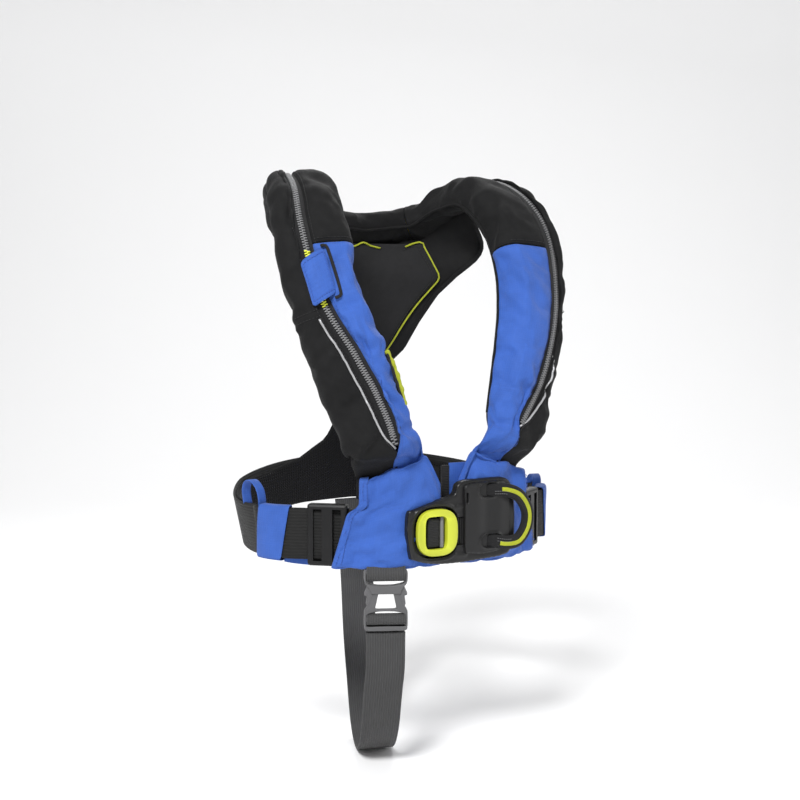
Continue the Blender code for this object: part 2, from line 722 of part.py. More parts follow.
def build_ring():
    """The lime ring in its recess, the webbing that it holds and the bar behind it."""
    (cx, cz), (rx, rz) = RING_CENTRE, RING_RADII
    back, front = PLATE_FRONT + 0.0030, PLATE_FRONT - 0.0035
    ring = ring_loop("release_ring", oval((cx, cz), (rx, rz), 36, 0.72), oval((cx + RING_HOLE_SHIFT, cz), RING_HOLE, 28, 0.40),
              back, front, "lime_plastic", 0.0013)
    pivot(ring, (cx - rx + 0.0020, PLATE_FRONT - 0.0020, cz))
    box("ring_webbing", (0.0120, 0.0034, 0.0270), (cx - 0.0038, PLATE_FRONT + 0.0012, cz), "black_webbing",
        edge=0.0008)
    cylinder("ring_bar", 0.0020, (cx + 0.0058, PLATE_FRONT + 0.0010, cz - 0.0145),
             (cx + 0.0058, PLATE_FRONT + 0.0010, cz + 0.0145), "grey_plastic", 14)


def build_loop():
    """Tubular webbing from an eye at the plate's top, out to the left and back to the lower eye."""
    x, y = LOOP_AXIS
    top, bottom = LOOP_EYES
    path = ((x, y, top), (x + 0.012, y - 0.003, top - 0.0005), (x + 0.025, y - 0.004, top - 0.006),
            (x + 0.036, y - 0.001, top - 0.018), (x + 0.0395, y + 0.001, top - 0.029),
            (x + 0.036, y, bottom + 0.013), (x + 0.025, y - 0.003, bottom + 0.003),
            (x + 0.012, y - 0.003, bottom), (x, y, bottom))
    wide, thick = LOOP_SECTION
    count, rings = 25, []
    for i in range(count):
        at = (len(path) - 1) * i / (count - 1)
        centre = spline(path, at)
        tangent = unit(spline(path, min(at + 0.05, len(path) - 1)) - spline(path, max(at - 0.05, 0)))
        normal = unit(np.array((0, -1.0, 0)) - tangent * -tangent[1])
        across = np.cross(tangent, normal)
        rings.append([centre + across * u + normal * n for u, n in (
            (-wide, -0.3 * thick), (-0.75 * wide, -thick), (0.75 * wide, -thick), (wide, -0.3 * thick),
            (wide, 0.3 * thick), (0.75 * wide, thick), (-0.75 * wide, thick), (-wide, 0.3 * thick))])
    pivot(loft("tether_loop", rings, "black_webbing", 50.0), (*LOOP_AXIS, (top + bottom) / 2))


def build_tabs():
    """Backing tabs of the closure, between the lobes and behind the plate."""
    prism("closure_tab_right", ((-0.0150, -0.020), (-0.0150, 0.038), (-0.0260, 0.070), (-0.0080, 0.062),
                                (-0.0050, -0.020)), -0.1095, -0.1115, "black_fabric")
    prism("closure_tab_left", ((0.0040, -0.020), (0.0040, 0.066), (0.0270, 0.066), (0.0150, 0.040),
                               (0.0150, -0.020)), -0.1095, -0.1115, "blue_fabric")
    prism("closure_band", ((-0.0045, -0.020), (-0.0045, 0.064), (0.0035, 0.064), (0.0035, -0.020)),
          -0.1085, -0.1120, "black_webbing", edge=0.0006)


# ---------------------------------------------------------------- crotch strap

def local_box(name, size, at, surface, home=None, edge=0.0):
    """A box placed in the crotch buckle's own frame: across, outward and down from its top."""
    x, y, z = at
    turn = Matrix.Rotation(BUCKLE_YAW, 4, "Z")
    centre = Vector(BUCKLE_AT) + turn @ Vector((x, y, -z))
    return box(name, size, centre, surface, BUCKLE_YAW, edge, home)


def local_prism(name, outline, back, front, surface, home=None, edge=0.0):
    return prism(name, [(x, -z) for x, z in outline], back, front, surface, home, BUCKLE_AT, BUCKLE_YAW, edge)


def build_socket():
    """The female half: the webbing's slot at its top and a window in each side."""
    half, deep, end = BUCKLE_WIDTH / 2, BUCKLE_THICK / 2, FEMALE_LENGTH
    outline = ((-half + 0.003, 0), (half - 0.003, 0), (half, 0.004), (half - 0.001, end - 0.008),
               (half - 0.003, end), (-half + 0.003, end), (-half + 0.001, end - 0.008), (-half, 0.004))
    female = local_prism("crotch_buckle_socket", outline, deep, -deep, "grey_plastic", edge=0.0018)
    cuts = [local_box("slot", (0.0415, 0.03, 0.0050), (0, 0, 0.0065), None, CUTTERS),
            local_box("cavity", (0.0380, 0.0070, 0.0200), (0, 0, 0.0215), None, CUTTERS)]
    for side in (LEFT, RIGHT):
        cuts.append(local_box("window", (0.0100, 0.0070, 0.0090), (side * 0.0220, 0, 0.0215), None, CUTTERS))
    combine(female, cuts, "DIFFERENCE")


def build_latch():
    """The male half: a ladder base below and two springy prongs with catches."""
    half, deep = BUCKLE_WIDTH / 2, BUCKLE_THICK / 2
    root = FEMALE_LENGTH + ARMS_LENGTH
    base_end = root + MALE_LENGTH
    outline = ((-0.0170, root), (-0.0105, root), (-0.0105, root + 0.006), (0.0105, root + 0.006),
               (0.0105, root), (0.0170, root), (0.0225, root + 0.002), (half - 0.0005, root + 0.009),
               (half - 0.0015, base_end - 0.003), (half - 0.005, base_end), (-half + 0.005, base_end),
               (-half + 0.0015, base_end - 0.003), (-half + 0.0005, root + 0.009), (-0.0225, root + 0.002))
    male = local_prism("crotch_buckle_latch", outline, deep - 0.0010, -deep + 0.0010, "grey_plastic", edge=0.0014)
    cuts = [local_box("slot", (0.0415, 0.03, 0.0045), (0, 0, root + 0.0140), None, CUTTERS),
            local_box("slot", (0.0415, 0.03, 0.0045), (0, 0, root + 0.0235), None, CUTTERS)]
    combine(male, cuts, "DIFFERENCE")
    for side, word in ((LEFT, "left"), (RIGHT, "right")):
        prong = ((0.0110, root - GAP), (0.0168, root - GAP), (0.0190, root - 0.008), (0.0180, 0.0255),
                 (0.0205, 0.0250), (0.0205, 0.0225), (0.0172, 0.0150), (0.0120, 0.0140),
                 (0.0105, 0.0190), (0.0130, 0.0280))
        arm = local_prism(f"crotch_prong_{word}", [(side * x, z) for x, z in prong], 0.0028, -0.0028,
                          "grey_plastic", edge=0.0007)
        turn = Matrix.Rotation(BUCKLE_YAW, 4, "Z")
        pivot(arm, Vector(BUCKLE_AT) + turn @ Vector((side * 0.0139, 0, -root)))


def build_crotch_strap():
    bx, by, bz = BUCKLE_AT
    low = bz - FEMALE_LENGTH - ARMS_LENGTH - 0.0235
    path = ((bx, by, low - 0.0072), (bx + 0.001, by + 0.003, -0.128), (-0.064, -0.102, -0.155),
            (-0.057, -0.082, -0.195), (-0.044, -0.048, -0.226), (-0.030, -0.010, -0.238),
            (-0.018, 0.026, -0.226), (-0.011, 0.050, -0.190), (-0.006, 0.070, -0.140),
            (-0.002, 0.086, -0.085), (0.000, 0.0985, -0.030), (0.000, 0.1065, 0.0035))
    count, rings, last = 34, [], len(path) - 1
    for i in range(count):
        at = last * i / (count - 1)
        ahead, behind = spline(path, min(at + 0.05, last)), spline(path, max(at - 0.05, 0))
        tangent = unit(ahead - behind)
        share = at / last
        yaw = BUCKLE_YAW * (1 - share)
        across = np.array((math.cos(yaw), math.sin(yaw), 0.0))
        across = unit(across - tangent * np.dot(across, tangent))
        normal = np.cross(tangent, across)
        half, deep = STRAP_WIDTH / 2, STRAP_THICK / 2
        rings.append([spline(path, at) + across * u + normal * n for u, n in (
            (-half, -deep), (half, -deep), (half, deep), (-half, deep))])
    loft("crotch_strap", rings, "webbing")
    wrap = BUCKLE_THICK / 2
    local_box("crotch_strap_tab", (STRAP_WIDTH, 0.0050, 0.0050), (0, 0, 0.0065), "webbing", edge=0.0008)
    local_box("crotch_strap_wrap", (STRAP_WIDTH, 0.0026, 0.0120), (0, -wrap - 0.0008, 0.0595), "webbing",
              edge=0.0006)


# ---------------------------------------------------------------- handle, flap and inner pieces

def lobe_local(at, side):
    """Matrix of a lobe station: X outward, Y into the body and Z along the lobe."""
    centre, tangent, across, away = lobe_frame(at)[:4]
    flip = np.array((side, 1.0, 1.0))
    columns = [across * flip * side, -away * flip, tangent * flip]
    columns[0] = np.cross(columns[1], columns[2])
    turn = Matrix([[float(columns[j][i]) for j in range(3)] for i in range(3)]).to_4x4()
    return Matrix.Translation(Vector(centre * flip)) @ turn


def on_lobe(obj, at, side, shift):
    obj.data.transform(lobe_local(at, side) @ Matrix.Translation(Vector(shift)))
    return obj


def build_flap():
    """The plain flap over the bursting point; its hinge is along its inner edge."""
    at = (BURST_FROM + BURST_TO) / 2
    wide, thick, off = 0.0260, 0.0020, LOBE[6][3] + 0.0052
    middle = 0.0030 - lobe_frame(at)[6]
    flap = box("burst_flap", (wide, thick, 0.0470), (0, 0, 0), "blue_fabric", edge=0.0008)
    on_lobe(flap, at, RIGHT, (middle, -off, 0.0))
    pivot(flap, lobe_local(at, RIGHT) @ Vector((middle + wide / 2, -off, 0.0)))


def build_handle():
    """Manual pull handle on the right lobe's inner edge."""
    rings = []
    for at in stations(2.55, 4.05, 8):
        centre, _, across, away, half_width = lobe_frame(at)[:5]
        wave = 0.0012 * math.sin((at - 2.55) * 9.0)
        middle = centre - across * (half_width + 0.0026 + wave) + away * 0.0040
        rings.append([middle + across * u + away * n for u, n in (
            (-0.0014, -0.0030), (0.0014, -0.0030), (0.0014, 0.0030), (-0.0014, 0.0030))])
    pivot(loft("pull_handle", mirrored(rings, RIGHT), "lime_webbing", 60.0), mirrored(rings, RIGHT)[-1][0])


def build_inner():
    """Inflator and gas cylinder in the right lobe; oral tube, whistle and light in the left."""
    def rod(name, radius, length, surface, at, side, shift, edge=0.0012):
        body = cylinder(name, radius, (0, 0, -length / 2), (0, 0, length / 2), surface, 20, edge=edge)
        return on_lobe(body, at, side, shift)

    outer = 0.0180
    rod("gas_cylinder", 0.0100, 0.072, "steel", 4.40, RIGHT, (-outer, 0, 0), 0.003)
    rod("inflator_body", 0.0112, 0.032, "red_plastic", 2.86, RIGHT, (-outer, 0, 0))
    lever = box("firing_lever", (0.0110, 0.0040, 0.0045), (-0.0055, 0, 0), "black_plastic", edge=0.0008)
    on_lobe(lever, 2.10, RIGHT, (-outer, 0, 0))
    pivot(lever, lobe_local(2.10, RIGHT) @ Vector((-outer, 0, 0)))
    rod("oral_tube", 0.0050, 0.060, "black_plastic", 4.60, LEFT, (0.0110, 0, 0))
    rod("oral_tube_cap", 0.0062, 0.012, "red_plastic", 5.62, LEFT, (0.0125, 0, 0))
    light = box("rescue_light", (0.0120, 0.0160, 0.0380), (0, 0, 0), "orange_plastic", edge=0.002)
    on_lobe(light, 2.95, LEFT, (0.0170, 0, 0))
    whistle = box("whistle", (0.0070, 0.0110, 0.0360), (0, 0, 0), "orange_plastic", edge=0.0018)
    on_lobe(whistle, 4.60, LEFT, (0.0240, 0, 0))


clear_scene()
PARTS = collection("life_jacket")
CUTTERS = collection("cutters", hidden=True)
build_lobes()
build_belt()
build_back()
build_plate()
build_socket()
build_latch()
build_crotch_strap()
build_flap()
build_handle()
build_inner()
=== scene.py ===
"""Looks of the inflatable life jacket: padded cloth, webbing, zip, mouldings and stitching.

Metres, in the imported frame: +Z up, the wearer faces -Y and +X is the wearer's left.
"""

import json
import math

import bmesh
import bpy
import numpy as np
from mathutils import Matrix, Vector, noise


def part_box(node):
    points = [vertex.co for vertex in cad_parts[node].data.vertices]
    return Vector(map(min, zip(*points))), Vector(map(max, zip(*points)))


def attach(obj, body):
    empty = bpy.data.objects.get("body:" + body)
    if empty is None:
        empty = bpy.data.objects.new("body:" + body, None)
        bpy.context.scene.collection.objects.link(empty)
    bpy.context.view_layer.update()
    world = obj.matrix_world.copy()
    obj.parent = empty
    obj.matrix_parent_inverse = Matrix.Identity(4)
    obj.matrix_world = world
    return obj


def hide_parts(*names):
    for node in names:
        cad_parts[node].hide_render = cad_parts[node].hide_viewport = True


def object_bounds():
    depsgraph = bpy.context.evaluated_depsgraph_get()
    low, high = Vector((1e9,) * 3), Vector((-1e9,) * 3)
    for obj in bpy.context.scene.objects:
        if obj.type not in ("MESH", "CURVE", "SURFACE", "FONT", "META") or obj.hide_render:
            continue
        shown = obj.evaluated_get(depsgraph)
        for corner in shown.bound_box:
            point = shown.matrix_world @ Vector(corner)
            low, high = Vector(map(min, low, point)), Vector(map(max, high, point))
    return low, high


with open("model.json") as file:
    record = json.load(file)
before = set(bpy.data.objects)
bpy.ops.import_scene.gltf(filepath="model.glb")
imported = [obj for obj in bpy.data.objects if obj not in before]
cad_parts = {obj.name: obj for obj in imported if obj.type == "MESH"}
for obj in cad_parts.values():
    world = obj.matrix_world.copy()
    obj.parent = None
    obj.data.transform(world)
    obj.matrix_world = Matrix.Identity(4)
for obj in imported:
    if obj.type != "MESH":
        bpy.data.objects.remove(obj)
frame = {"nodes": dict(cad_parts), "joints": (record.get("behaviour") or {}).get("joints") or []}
CAD_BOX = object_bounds()
NODES = frame["nodes"]
JOINTS = {joint["child"]: joint for joint in frame["joints"]}
ROOT = "jacket"
LEFT, RIGHT = 1, -1
SIDES = ((RIGHT, "right"), (LEFT, "left"))
UV = "cloth"  # its unit is the metre, so weaves have their real size


# ---------------------------------------------------------------- materials

BLUE = (0.0365, 0.106, 0.415)
BLACK = (0.006, 0.006, 0.0064)
CHARCOAL = (0.0055, 0.0055, 0.006)
GREY = (0.085, 0.085, 0.088)
WEBBING_GREY = (0.057, 0.057, 0.058)
NARROW_BLACK = (0.018, 0.018, 0.019)
LIME = (0.44, 0.48, 0.03)


class Look:
    """A Principled material, built up from layers of colour and height."""

    def __init__(self, name, colour, roughness, metallic=0.0, sheen=0.0, specular=0.5, coords="uv"):
        self.material = bpy.data.materials.new(name)
        self.material.use_nodes = True
        self.material.diffuse_color = (*colour, 1.0)
        self.tree = self.material.node_tree
        self.shader = self.tree.nodes["Principled BSDF"]
        inputs = self.shader.inputs
        inputs["Base Color"].default_value = (*colour, 1.0)
        inputs["Roughness"].default_value = roughness
        inputs["Metallic"].default_value = metallic
        inputs["Sheen Weight"].default_value = sheen
        inputs["Sheen Roughness"].default_value = 0.4
        inputs["Specular IOR Level"].default_value = specular
        self.base = None
        self.colour = colour
        self.normal = None
        if coords == "uv":
            node = self.node("ShaderNodeUVMap")
            node.uv_map = UV
            self.place = node.outputs["UV"]
        else:
            self.place = self.node("ShaderNodeTexCoord").outputs["Object"]

    def node(self, kind, **values):
        made = self.tree.nodes.new(kind)
        for key, value in values.items():
            setattr(made, key, value)
        return made

    def feed(self, socket, value):
        if isinstance(value, bpy.types.NodeSocket):
            self.tree.links.new(value, socket)
        elif value is not None:
            socket.default_value = value

    def math(self, operation, a, b=None, c=None):
        made = self.node("ShaderNodeMath", operation=operation)
        for socket, value in zip(made.inputs, (a, b, c)):
            self.feed(socket, value)
        return made.outputs[0]

    def split(self):
        made = self.node("ShaderNodeSeparateXYZ")
        self.feed(made.inputs[0], self.place)
        return made.outputs

    def ramp(self, value, low, high):
        made = self.node("ShaderNodeMapRange", interpolation_type="SMOOTHSTEP")
        for socket, given in zip(made.inputs, (value, low, high, 0.0, 1.0)):
            self.feed(socket, given)
        return made.outputs[0]

    def noise(self, scale, detail=3.0, rough=0.55, stretch=None):
        place = self.place
        if stretch:
            mapping = self.node("ShaderNodeMapping")
            self.feed(mapping.inputs["Vector"], place)
            mapping.inputs["Scale"].default_value = stretch
            place = mapping.outputs[0]
        made = self.node("ShaderNodeTexNoise")
        self.feed(made.inputs["Vector"], place)
        made.inputs["Scale"].default_value = scale
        made.inputs["Detail"].default_value = detail
        made.inputs["Roughness"].default_value = rough
        return made.outputs[0]

    def threads(self, axis, period):
        """A rounded ridge for each thread, 0 to 1."""
        along = self.math("PINGPONG", self.split()[axis], period / 2)
        return self.ramp(along, 0.0, period / 2)

    def lines(self, axis, period, width):
        """Narrow lines, 1 on the line."""
        off = self.math("PINGPONG", self.split()[axis], period / 2)
        return self.ramp(off, width, width * 0.3)

    def tint(self, factor, colour, amount=1.0):
        mix = self.node("ShaderNodeMix", data_type="RGBA")
        self.feed(mix.inputs[0], self.math("MULTIPLY", factor, amount))
        self.feed(mix.inputs[6], self.base or (*self.colour, 1.0))
        mix.inputs[7].default_value = (*colour, 1.0)
        self.base = mix.outputs[2]
        self.feed(self.shader.inputs["Base Color"], self.base)
        return self

    def rough(self, factor, low, high):
        made = self.node("ShaderNodeMapRange")
        for socket, given in zip(made.inputs, (factor, 0.0, 1.0, low, high)):
            self.feed(socket, given)
        self.feed(self.shader.inputs["Roughness"], made.outputs[0])
        return self

    def bump(self, height, distance, strength=1.0):
        made = self.node("ShaderNodeBump")
        made.inputs["Distance"].default_value = distance
        made.inputs["Strength"].default_value = strength
        self.feed(made.inputs["Height"], height)
        if self.normal is not None:
            self.feed(made.inputs["Normal"], self.normal)
        self.normal = made.outputs[0]
        self.feed(self.shader.inputs["Normal"], self.normal)
        return self


def shade(colour, factor):
    return tuple(channel * factor for channel in colour)


def woven(name, colour, roughness, pitch=0.0007, grid=0.0, sheen=0.035, coords="uv", axes=(0, 1)):
    """Plain weave with a painted highlight on its raised threads; a grid makes it ripstop, with a
    heavier thread at each pitch of the grid, also painted lighter as a highlight.
    """
    look = Look(name, colour, roughness, sheen=sheen, coords=coords, specular=0.22)
    warp, weft = (look.threads(axis, pitch) for axis in axes)
    look.bump(look.math("MULTIPLY", warp, weft), 0.00012)
    look.tint(look.ramp(look.noise(55.0), 0.35, 0.7), shade(colour, 0.8), 0.8)
    look.tint(look.ramp(look.noise(9.0, 2.0), 0.4, 0.75), shade(colour, 1.22), 0.6)
    # Painted highlight: the tops of the threads, where warp and weft cross, are painted lighter.
    look.tint(look.math("MULTIPLY", warp, weft), shade(colour, 1.18), 0.5)
    if grid:
        warp_ribs, weft_ribs = (look.lines(axis, grid, grid * 0.1) for axis in axes)
        ribs = look.math("MAXIMUM", warp_ribs, weft_ribs)
        # Painted highlight: the raised ripstop ribs are painted lighter.
        look.tint(ribs, shade(colour, 1.22), 0.3)
        look.bump(ribs, 0.0001)
    look.rough(look.noise(120.0, 2.0), roughness - 0.1, roughness + 0.1)
    look.bump(look.noise(160.0, 3.0), 0.0004, 0.5)
    return look.material


def webbed(name, colour, rib, coords="uv", axes=(0, 1)):
    """Narrow webbing: ribs along its length with painted shade in the grooves between them, and picks
    across with a painted highlight on them.
    """
    look = Look(name, colour, 0.72, sheen=0.08, coords=coords, specular=0.22)
    ribs, picks = look.threads(axes[0], rib), look.threads(axes[1], 0.0011)
    # Painted shade in the grooves between the ribs.
    look.tint(look.math("SUBTRACT", 1.0, ribs), shade(colour, 0.55), 0.7)
    # Painted highlight on the raised picks.
    look.tint(picks, shade(colour, 1.3), 0.5)
    look.tint(look.ramp(look.noise(40.0), 0.45, 0.75), shade(colour, 1.25), 0.35)
    look.bump(ribs, 0.00035)
    look.bump(picks, 0.00018)
    look.rough(look.noise(90.0, 2.0), 0.62, 0.85)
    return look.material


def knitted(name, colour, cell=0.003):
    """Spacer mesh with round holes in offset rows, drawn as dents filled with painted shade."""
    look = Look(name, colour, 0.85, sheen=0.06, specular=0.15)
    cells = look.node("ShaderNodeTexVoronoi", feature="F1")
    look.feed(cells.inputs["Vector"], look.place)
    cells.inputs["Scale"].default_value = 1.0 / cell
    cells.inputs["Randomness"].default_value = 0.0
    hole_shade = look.ramp(cells.outputs["Distance"], 0.42, 0.22)
    # Painted shade: the holes are painted dark rather than cut through.
    look.tint(hole_shade, shade(colour, 0.15))
    look.tint(look.noise(30.0), shade(colour, 1.5), 0.35)
    look.bump(look.math("SUBTRACT", 1.0, hole_shade), 0.0006)
    return look.material


def moulded(name, colour, roughness=0.42, grain=0.35, specular=0.5):
    """Moulded plastic: fine grain, faint mould flow, a painted highlight along sharp edges and a few
    scuffs.
    """
    look = Look(name, colour, roughness, coords="object", specular=specular)
    edge = look.node("ShaderNodeNewGeometry").outputs["Pointiness"]
    look.tint(look.ramp(look.noise(30.0, 4.0), 0.4, 0.7), shade(colour, 1.25), 0.45)
    # Painted highlight: sharp convex edges, found by pointiness, are painted lighter.
    look.tint(look.ramp(edge, 0.52, 0.6), shade(colour, 1.9), 0.35)
    scuff = look.ramp(look.noise(420.0, 5.0, 0.7, stretch=(1.0, 1.0, 0.15)), 0.62, 0.72)
    look.tint(scuff, shade(colour, 1.6), 0.22)
    look.rough(look.noise(240.0, 3.0), roughness - 0.08, roughness + 0.14)
    look.bump(look.noise(2600.0, 2.0), 0.00005, grain)
    look.bump(look.noise(45.0, 1.0), 0.0006, 0.15)
    return look.material


def coated(name, colour, roughness):
    look = Look(name, colour, roughness, coords="object")
    look.tint(look.noise(60.0), shade(colour, 0.8), 0.5)
    look.bump(look.noise(90.0, 3.0), 0.0008, 0.5)
    return look.material


def brushed(name, colour):
    look = Look(name, colour, 0.3, metallic=1.0, coords="object")
    look.tint(look.noise(500.0, 2.0, stretch=(1.0, 1.0, 0.05)), shade(colour, 0.7), 0.5)
    look.rough(look.noise(700.0, 2.0, stretch=(1.0, 1.0, 0.05)), 0.22, 0.42)
    return look.material


def reflective(name):
    """Retro-reflective piping: a silver film with a fine lattice pressed into it."""
    look = Look(name, (0.4, 0.4, 0.41), 0.34, metallic=0.3, sheen=0.05)
    cross = look.math("MAXIMUM", look.lines(0, 0.0016, 0.00025), look.lines(1, 0.0016, 0.00025))
    look.tint(cross, (0.32, 0.32, 0.33), 0.6)
    look.tint(look.ramp(look.noise(80.0), 0.5, 0.7), (0.42, 0.42, 0.43), 0.5)
    look.rough(look.noise(200.0), 0.25, 0.45)
    return look.material


LOOKS = {
    "blue": woven("blue_ripstop", BLUE, 0.62, grid=0.0024, sheen=0.12),
    "blue_flat": woven("blue_ripstop_flat", BLUE, 0.62, grid=0.0024, sheen=0.12, coords="object",
                       axes=(0, 2)),
    "black": woven("black_nylon", BLACK, 0.78),
    "black_flat": woven("black_nylon_flat", BLACK, 0.78, coords="object", axes=(0, 2)),
    "collar": woven("collar_fleece", CHARCOAL, 0.88, pitch=0.0012, sheen=0.07),
    "charcoal": woven("charcoal_lining", (0.014, 0.014, 0.015), 0.8, pitch=0.001),
    "mesh": knitted("black_mesh", (0.006, 0.006, 0.0068)),
    "tape": webbed("zip_tape", (0.016, 0.016, 0.017), rib=0.0008),
    "belt": webbed("grey_webbing", (0.0135, 0.0135, 0.0135), rib=0.003),
    "strap": webbed("grey_strap", WEBBING_GREY, rib=0.0024),
    "black_webbing": webbed("black_webbing", NARROW_BLACK, rib=0.0016),
    "black_webbing_flat": webbed("black_webbing_flat", NARROW_BLACK, rib=0.0016, coords="object",
                                 axes=(2, 0)),
    "lime_webbing": webbed("lime_webbing", LIME, rib=0.0012),
    "loop": webbed("tether_webbing", (0.012, 0.012, 0.013), rib=0.0014),
    "plate": moulded("black_moulding", (0.01, 0.01, 0.0104), 0.34, specular=0.34),
    "buckle": moulded("grey_moulding", GREY, 0.46),
    "adjuster": moulded("adjuster_moulding", (0.006, 0.006, 0.0065), 0.32, specular=0.26),
    "lime": moulded("lime_moulding", LIME, 0.36, grain=0.25),
    "teeth": moulded("zip_teeth", (0.12, 0.12, 0.123), 0.36),
    "lime_teeth": moulded("lime_teeth", (0.56, 0.6, 0.04), 0.34),
    "bar": moulded("grey_bar", (0.11, 0.11, 0.11), 0.35),
    "reflective": reflective("reflective_piping"),
    "bladder": coated("bladder_film", (0.75, 0.55, 0.03), 0.45),
    "steel": brushed("gas_cylinder_steel", (0.55, 0.56, 0.58)),
    "red": moulded("red_moulding", (0.55, 0.03, 0.02), 0.4),
    "orange": moulded("orange_moulding", (0.8, 0.22, 0.02), 0.4),
    "black_thread": coated("black_thread", (0.012, 0.012, 0.013), 0.6),
    "blue_thread": coated("blue_thread", (0.036, 0.095, 0.39), 0.6),
    "grey_thread": coated("grey_thread", (0.14, 0.14, 0.145), 0.6),
}


# ---------------------------------------------------------------- geometry

FRONT = np.array((0.0, -1.0, 0.0))
UP = np.array((0.0, 0.0, 1.0))
DENSE = 400  # pieces that a spline is cut into before its points are spaced out
STITCH_LIFT = 0.0004  # how far stitches stand off the cloth


def unit(vector):
    vector = np.asarray(vector, float)
    return vector / np.linalg.norm(vector)


def smooth(value, low, high):
    """0 below low, 1 above high and an S-curve between."""
    t = min(max((value - low) / (high - low), 0.0), 1.0)
    return t * t * (3 - 2 * t)


def ripple(point, size, seed=0.0):
    """Smooth noise from about -0.5 to 0.5 that varies over this many metres."""
    return noise.noise(Vector(point) / size + Vector((seed, 1.7 * seed, 0.3)))


def spline(points, at):
    """Catmull-Rom value at a fractional index of the points."""
    points = np.asarray(points, float)
    last = len(points) - 1
    i = min(max(int(at), 0), last - 1)
    f = at - i
    a = points[i - 1] if i > 0 else 2 * points[0] - points[1]
    b, c = points[i], points[i + 1]
    d = points[i + 2] if i + 2 <= last else 2 * points[last] - points[last - 1]
    return b + 0.5 * f * (c - a + f * (2 * a - 5 * b + 4 * c - d + f * (3 * (b - c) + d - a)))


def lengths(path):
    """Distance along the path to each of its points."""
    return np.concatenate([[0], np.cumsum(np.linalg.norm(np.diff(path, axis=0), axis=1))])


def look_up(at, length, values):
    """Each column of the values, read at this distance."""
    return np.array([np.interp(at, length, column) for column in values.T])


def dense_spline(points):
    last = len(points) - 1
    return np.array([spline(points, last * i / DENSE) for i in range(DENSE + 1)])


def along_spline(points, step):
    """Points evenly spaced along the spline through the given points."""
    dense = dense_spline(points)
    length = lengths(dense)
    count = max(2, int(round(length[-1] / step)) + 1)
    return np.array([look_up(at, length, dense) for at in np.linspace(0, length[-1], count)])


def loft(rings, sides):
    """Faces of a closed rod made of rings of points, and its two ends."""
    faces = [tuple(range(sides))[::-1], tuple((rings - 1) * sides + j for j in range(sides))]
    for i in range(rings - 1):
        for j in range(sides):
            k = (j + 1) % sides
            faces.append((i * sides + j, i * sides + k, (i + 1) * sides + k, (i + 1) * sides + j))
    return faces


def soften(obj):
    soft = obj.modifiers.new("soften", "SUBSURF")
    soft.levels = soft.render_levels = 1


def new_object(name, verts, faces, look, uvs=None):
    mesh = bpy.data.meshes.new(name)
    mesh.from_pydata([tuple(map(float, v)) for v in verts], [], faces)
    if uvs is not None:
        layer = mesh.uv_layers.new(name=UV)
        for loop in mesh.loops:
            layer.data[loop.index].uv = uvs[loop.vertex_index]
    mesh.shade_smooth()
    mesh.materials.append(LOOKS[look])
    obj = bpy.data.objects.new(name, mesh)
    bpy.context.scene.collection.objects.link(obj)
    return obj


def spread(points):
    """For each grid point, metres across its row from the row's middle, and metres along."""
    points = np.asarray(points, float)
    across = np.zeros(points.shape[:2])
    across[:, 1:] = np.cumsum(np.linalg.norm(np.diff(points, axis=1), axis=2), axis=1)
    across -= across[:, -1:] / 2
    steps = np.linalg.norm(np.diff(points, axis=0), axis=2).mean(axis=1)
    along = np.concatenate([[0.0], np.cumsum(steps)])
    return across, np.repeat(along[:, None], points.shape[1], axis=1)


